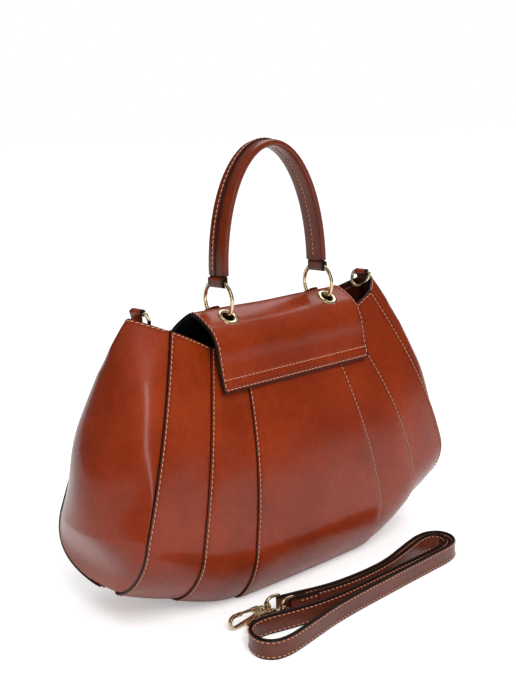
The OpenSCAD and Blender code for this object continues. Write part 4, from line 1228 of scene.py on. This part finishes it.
def pear(r1, x1, r2, x2, count=26):
    """Outline round two circles on one line, far circle first from its upper tangent round to the lower,
    then along to the near circle and round to its upper tangent; the upper straight side stays open."""
    lean_a = np.degrees(np.arccos((r1 - r2) / (x2 - x1)))
    far = np.radians(np.linspace(lean_a, -lean_a, count))
    near = np.radians(np.linspace(-lean_a, -(360 - lean_a), count))
    a = np.column_stack([x2 + r2 * np.cos(far), r2 * np.sin(far)])
    b = np.column_stack([x1 + r1 * np.cos(near), r1 * np.sin(near)])
    low_side = mix(a[-1], b[0], np.linspace(0, 1, 12)[1:-1, None])
    return np.concatenate([a, low_side, b])


def rim_loft(outer_line, inner_line, thick, corner):
    """A bar between two matching outlines: at each pair its section is a rectangle with round corners."""
    q = np.array([[0, 0], [0, 0.6], [0.12, 0.88], [0.4, 1], [1, 1]])
    rows = []
    gap = np.linalg.norm(inner_line - outer_line, axis=1)
    way = (inner_line - outer_line) / gap[:, None]
    half = thick / 2
    section = []
    for x, zz in ((0, -1), (0, 1), (1, 1), (1, -1)):
        for turn_by in np.radians([0, 30, 60, 90]):
            order = turn_by if (x == 0) == (zz > 0) else np.pi / 2 - turn_by
            section.append((x, corner * (1 - np.cos(order)), zz, corner * (1 - np.sin(order))))
    for x, dx, zz, dz in section:
        place = dx if x == 0 else None
        w = np.full(len(gap), dx) if x == 0 else gap - dx
        rows.append(np.column_stack([outer_line + way * w[:, None], np.full(len(gap), zz * (half - dz))]))
    grid = np.stack(rows, 1)
    rows_n, cols_n = grid.shape[:2]
    idx = np.arange(rows_n * cols_n).reshape(rows_n, cols_n)
    faces = grid_faces(np.hstack([idx, idx[:, :1]]))
    k = np.arange(0, cols_n // 2 - 1)
    lid = np.column_stack([k, k + 1, cols_n - 2 - k, cols_n - 1 - k])
    faces = np.concatenate([faces, lid[:, ::-1], lid + (rows_n - 1) * cols_n])
    cut = np.zeros((len(faces), 4, 2))
    return part(grid.reshape(-1, 3), faces, np.zeros(len(faces), int), cut, np.full(rows_n * cols_n, 9.0))


def strap_tab():
    """Two leaves sewn to the strap's faces and joined by a fold round the bow's bar, in the end's frame."""
    r = bow_wire + 0.15 + 1.3
    side = strap_t / 2 + 0.15 + 1.3
    fold = np.radians(np.linspace(90, -90, 30))
    line = np.concatenate([
        [[-tab_len + bar_out, side], [0.1, side]],
        np.column_stack([bar_out + r * np.cos(fold), r * np.sin(fold)]),
        [[0.1, -side], [-tab_len + bar_out, -side]],
    ])
    fold_part = folded(line, tab_w, 1.3, (0, 1, 0), step=1.2)
    upright = np.array([[1, 0, 0], [0, 0, 1], [0, 1, 0]])
    faces = dict(
        fold_part,
        points=fold_part["points"] @ upright.T,
        faces=fold_part["faces"][:, ::-1],
        cut=fold_part["cut"][:, ::-1],
    )
    rows = []
    for m in (-1, 1):
        x = np.linspace(-tab_len + bar_out + 2, -1, 40)
        for zz in (-tab_w / 2 + 2.2, tab_w / 2 - 2.2):
            line = np.column_stack([x, np.full(40, m * side), np.full(40, zz)])
            rows.append(stitches(line, np.tile([0.0, m, 0.0], (40, 1)), length=2.6))
    return faces, rows


tab_part, tab_rows = strap_tab()
for key, (x0, y0, heading, yaw, dip) in ends.items():
    at = turn_z(heading)
    spot = np.array([x0, y0, tab_z])
    leaves = [placed(tab_part, at, spot)]
    piece(f"strap_tab_{key}_folded", leaves, strap_finishes, "strap", [f"strap_tab_{key}"])
    sewing = [placed(r, at, spot) for r in tab_rows]
    piece(f"strap_tab_{key}_stitches", sewing, [thread_tan], "strap")
    flat_bow = dee(bow_half, bow_leg, 1.6)
    bow_line = np.column_stack([flat_bow[:, 0] + bar_out, np.zeros(len(flat_bow)), flat_bow[:, 1]])
    hub_round = [bead(3.15, 0.9, 0.65, 0.4, 7, 180, 0), bead(3.15, -0.9, 0.65, 0.4, 7, 0, -180)]
    hub = turned(np.concatenate(hub_round), 40)
    hub = placed(hub, turn_y(90), [bar_out + hub_x, 0, 0])
    bow = [placed(p, at, spot) for p in (tube(bow_line, [0, 1, 0], bow_wire, closed=True), hub)]
    piece(f"strap_bow_{key}", bow, [gold], f"bow_{key}", [f"bow_{key}"])
    centre_at = spot + at @ [bar_out + hub_x + hub_len / 2, 0, 0]
    own = at @ turn_z(yaw) @ turn_y(dip) @ turn_x(90)
    rim_out, rim_in = pear(4.6, 9.5, tip_r, hook_len - tip_r), pear(1.9, 14, tip_r - 2.5, hook_len - tip_r)
    mouth_far = mix(rim_out[0], rim_out[-1], 0.32), mix(rim_in[0], rim_in[-1], 0.35)
    mouth_near = mix(rim_out[0], rim_out[-1], 0.78), mix(rim_in[0], rim_in[-1], 0.93)
    rim_out = np.concatenate([mouth_far[:1], rim_out, mouth_near[:1]])
    rim_in = np.concatenate([mouth_far[1:], rim_in, mouth_near[1:]])
    rim = rim_loft(rim_out, rim_in, 3.2, 0.55)
    barrel_outline = [
        [0.01, -3.75], [3.0, -3.7], [3.4, -3.4], [3.4, -2.6], [3.1, -2.35], [1.4, -2.3], [1.4, 2.3], [2.6, 2.4],
        [3.0, 2.8], [3.0, 3.6], [2.75, 3.8], [2.75, 4.2], [3.0, 4.4], [3.0, 6.2], [2.5, 6.9], [0.01, 7.0],
    ]
    barrel = placed(turned(barrel_outline, 40), turn_y(90), [0, 0, 0])
    pin_outline = [[0.01, -1.7], [0.7, -1.7], [0.85, -1.55], [0.85, 1.55], [0.7, 1.7], [0.01, 1.7]]
    pin = placed(turned(pin_outline, 24), np.eye(3), [*pivot, 0])
    hook = [placed(p, own, centre_at) for p in (rim, barrel, pin)]
    hook_nodes = [f"hook_{key}", f"hook_pins_{key}"]
    piece(f"snap_hook_{key}", hook, [gold], f"hook_{key}", hook_nodes)
    gate_x = np.array([9.2, 9.8, 10.6, 12.4, 17, 24.4, 27.0, 27.8])
    low_y = np.array([2.3, 1.7, 1.45, 1.75, 2.6, 3.95, 4.2, 4.5])
    high_y = np.array([3.4, 4.3, 4.6, 4.9, 5.3, 6.0, 5.8, 5.5])
    gate = rim_loft(np.column_stack([gate_x, high_y]), np.column_stack([gate_x, low_y]), 1.3, 0.3)
    gate = placed(gate, own, centre_at)
    piece(f"hook_gate_{key}", [gate], [gold], f"gate_{key}", [f"gate_{key}"])

# %% [markdown]
# The pieces that keep their own CAD shape are the two magnet discs and the base board. They get the
# finishes of their kind.

# %% Finishes on the pieces that stay
for node, made in (("body_magnet", steel), ("flap_magnet", steel), ("base_board", card)):
    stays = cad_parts[node]
    stays.data.materials.clear()
    stays.data.materials.append(made)

# %% [markdown]
# ## Floor and light
# The bag stands on a white floor. A large soft box hangs overhead and lights the flap and the shoulders.
# A narrow, tall one at the front left draws the long highlight down the front edge of the left end panel,
# because polished leather shows a lamp as a streak along its curve. A wide sun fills the front and isn't
# seen in reflections. The surroundings are bright for the camera and dim for the polish.

# %% Floor, lights and surroundings
floor_mesh = bpy.data.meshes.new("floor")
floor_mesh.from_pydata([(-30, -30, 0), (30, -30, 0), (30, 30, 0), (-30, 30, 0)], [], [(0, 1, 2, 3)])
floor = bpy.data.objects.new("floor", floor_mesh)
bpy.context.scene.collection.objects.link(floor)
floor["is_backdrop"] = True
white = bpy.data.materials.new("white_floor")
white.use_nodes = True
tree = white.node_tree
tree.nodes.clear()
out = tree.nodes.new("ShaderNodeOutputMaterial")
body_shade = tree.nodes.new("ShaderNodeBsdfDiffuse")
body_shade.inputs["Color"].default_value = (0.82, 0.82, 0.82, 1)
glow = tree.nodes.new("ShaderNodeEmission")
glow.inputs["Color"].default_value = (1, 1, 1, 1)
path = tree.nodes.new("ShaderNodeLightPath")
seen = tree.nodes.new("ShaderNodeMath")
seen.operation = "MULTIPLY"
seen.inputs[1].default_value = 0.35
tree.links.new(path.outputs["Is Camera Ray"], seen.inputs[0])
tree.links.new(seen.outputs[0], glow.inputs["Strength"])
both = tree.nodes.new("ShaderNodeAddShader")
tree.links.new(body_shade.outputs[0], both.inputs[0])
tree.links.new(glow.outputs[0], both.inputs[1])
tree.links.new(both.outputs[0], out.inputs["Surface"])
floor_mesh.materials.append(white)

world = bpy.data.worlds.new("studio")
bpy.context.scene.world = world
world.use_nodes = True
tree = world.node_tree
tree.nodes.clear()
out = tree.nodes.new("ShaderNodeOutputWorld")
room = tree.nodes.new("ShaderNodeBackground")
room.inputs["Color"].default_value = (1, 1, 1, 1)
path = tree.nodes.new("ShaderNodeLightPath")
way = tree.nodes.new("ShaderNodeTexCoord")
parts = tree.nodes.new("ShaderNodeSeparateXYZ")
mirror_level = tree.nodes.new("ShaderNodeMapRange")
mirror_level.interpolation_type = "SMOOTHSTEP"
for key, value in (("From Min", 0.25), ("From Max", 0.9), ("To Min", 0.03), ("To Max", 0.28)):
    mirror_level.inputs[key].default_value = value
tree.links.new(way.outputs["Generated"], parts.inputs[0])
tree.links.new(parts.outputs["Z"], mirror_level.inputs["Value"])
glossy = tree.nodes.new("ShaderNodeMix")
glossy.inputs["A"].default_value = 0.5
tree.links.new(path.outputs["Is Glossy Ray"], glossy.inputs["Factor"])
tree.links.new(mirror_level.outputs["Result"], glossy.inputs["B"])
level = tree.nodes.new("ShaderNodeMix")
level.inputs["B"].default_value = 1.0
tree.links.new(path.outputs["Is Camera Ray"], level.inputs["Factor"])
tree.links.new(glossy.outputs["Result"], level.inputs["A"])
tree.links.new(level.outputs["Result"], room.inputs["Strength"])
tree.links.new(room.outputs[0], out.inputs["Surface"])


def soft_box(name, at, towards, width, height, power):
    """A rectangular lamp at a place in metres, facing another place."""
    lamp = bpy.data.lights.new(name, "AREA")
    lamp.shape = "RECTANGLE"
    lamp.size, lamp.size_y = width, height
    lamp.energy = power
    obj = bpy.data.objects.new(name, lamp)
    bpy.context.scene.collection.objects.link(obj)
    at, towards = np.array(at, float), np.array(towards, float)
    back = unit(at - towards)
    side = unit(np.cross([0, 0.001, 1.0], back))
    top = np.cross(back, side)
    turn_it = Matrix(np.column_stack([side, top, back]).tolist()).to_4x4()
    obj.matrix_world = Matrix.Translation(at.tolist()) @ turn_it


soft_box("overhead", (0.6, 0.3, 1.4), (0, 0, 0.15), 1.0, 1.0, 6)
soft_box("left_front", (-0.8, -1.4, 0.75), (-0.15, 0, 0.15), 0.3, 1.4, 6)
key = bpy.data.lights.new("key", "SUN")
key.energy = 2.0
key.angle = np.radians(35)
key_obj = bpy.data.objects.new("key", key)
bpy.context.scene.collection.objects.link(key_obj)
key_obj.visible_glossy = False
back = unit(np.array([-0.35, -0.85, 1.0]))
side = unit(np.cross([0, 0, 1.0], back))
key_obj.matrix_world = Matrix(np.column_stack([side, np.cross(back, side), back]).tolist()).to_4x4()
bpy.context.scene.view_settings.view_transform = "Standard"

# %% The visual model's box is printed
low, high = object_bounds()
print("visual box", [round(v, 3) for v in low], [round(v, 3) for v in high])
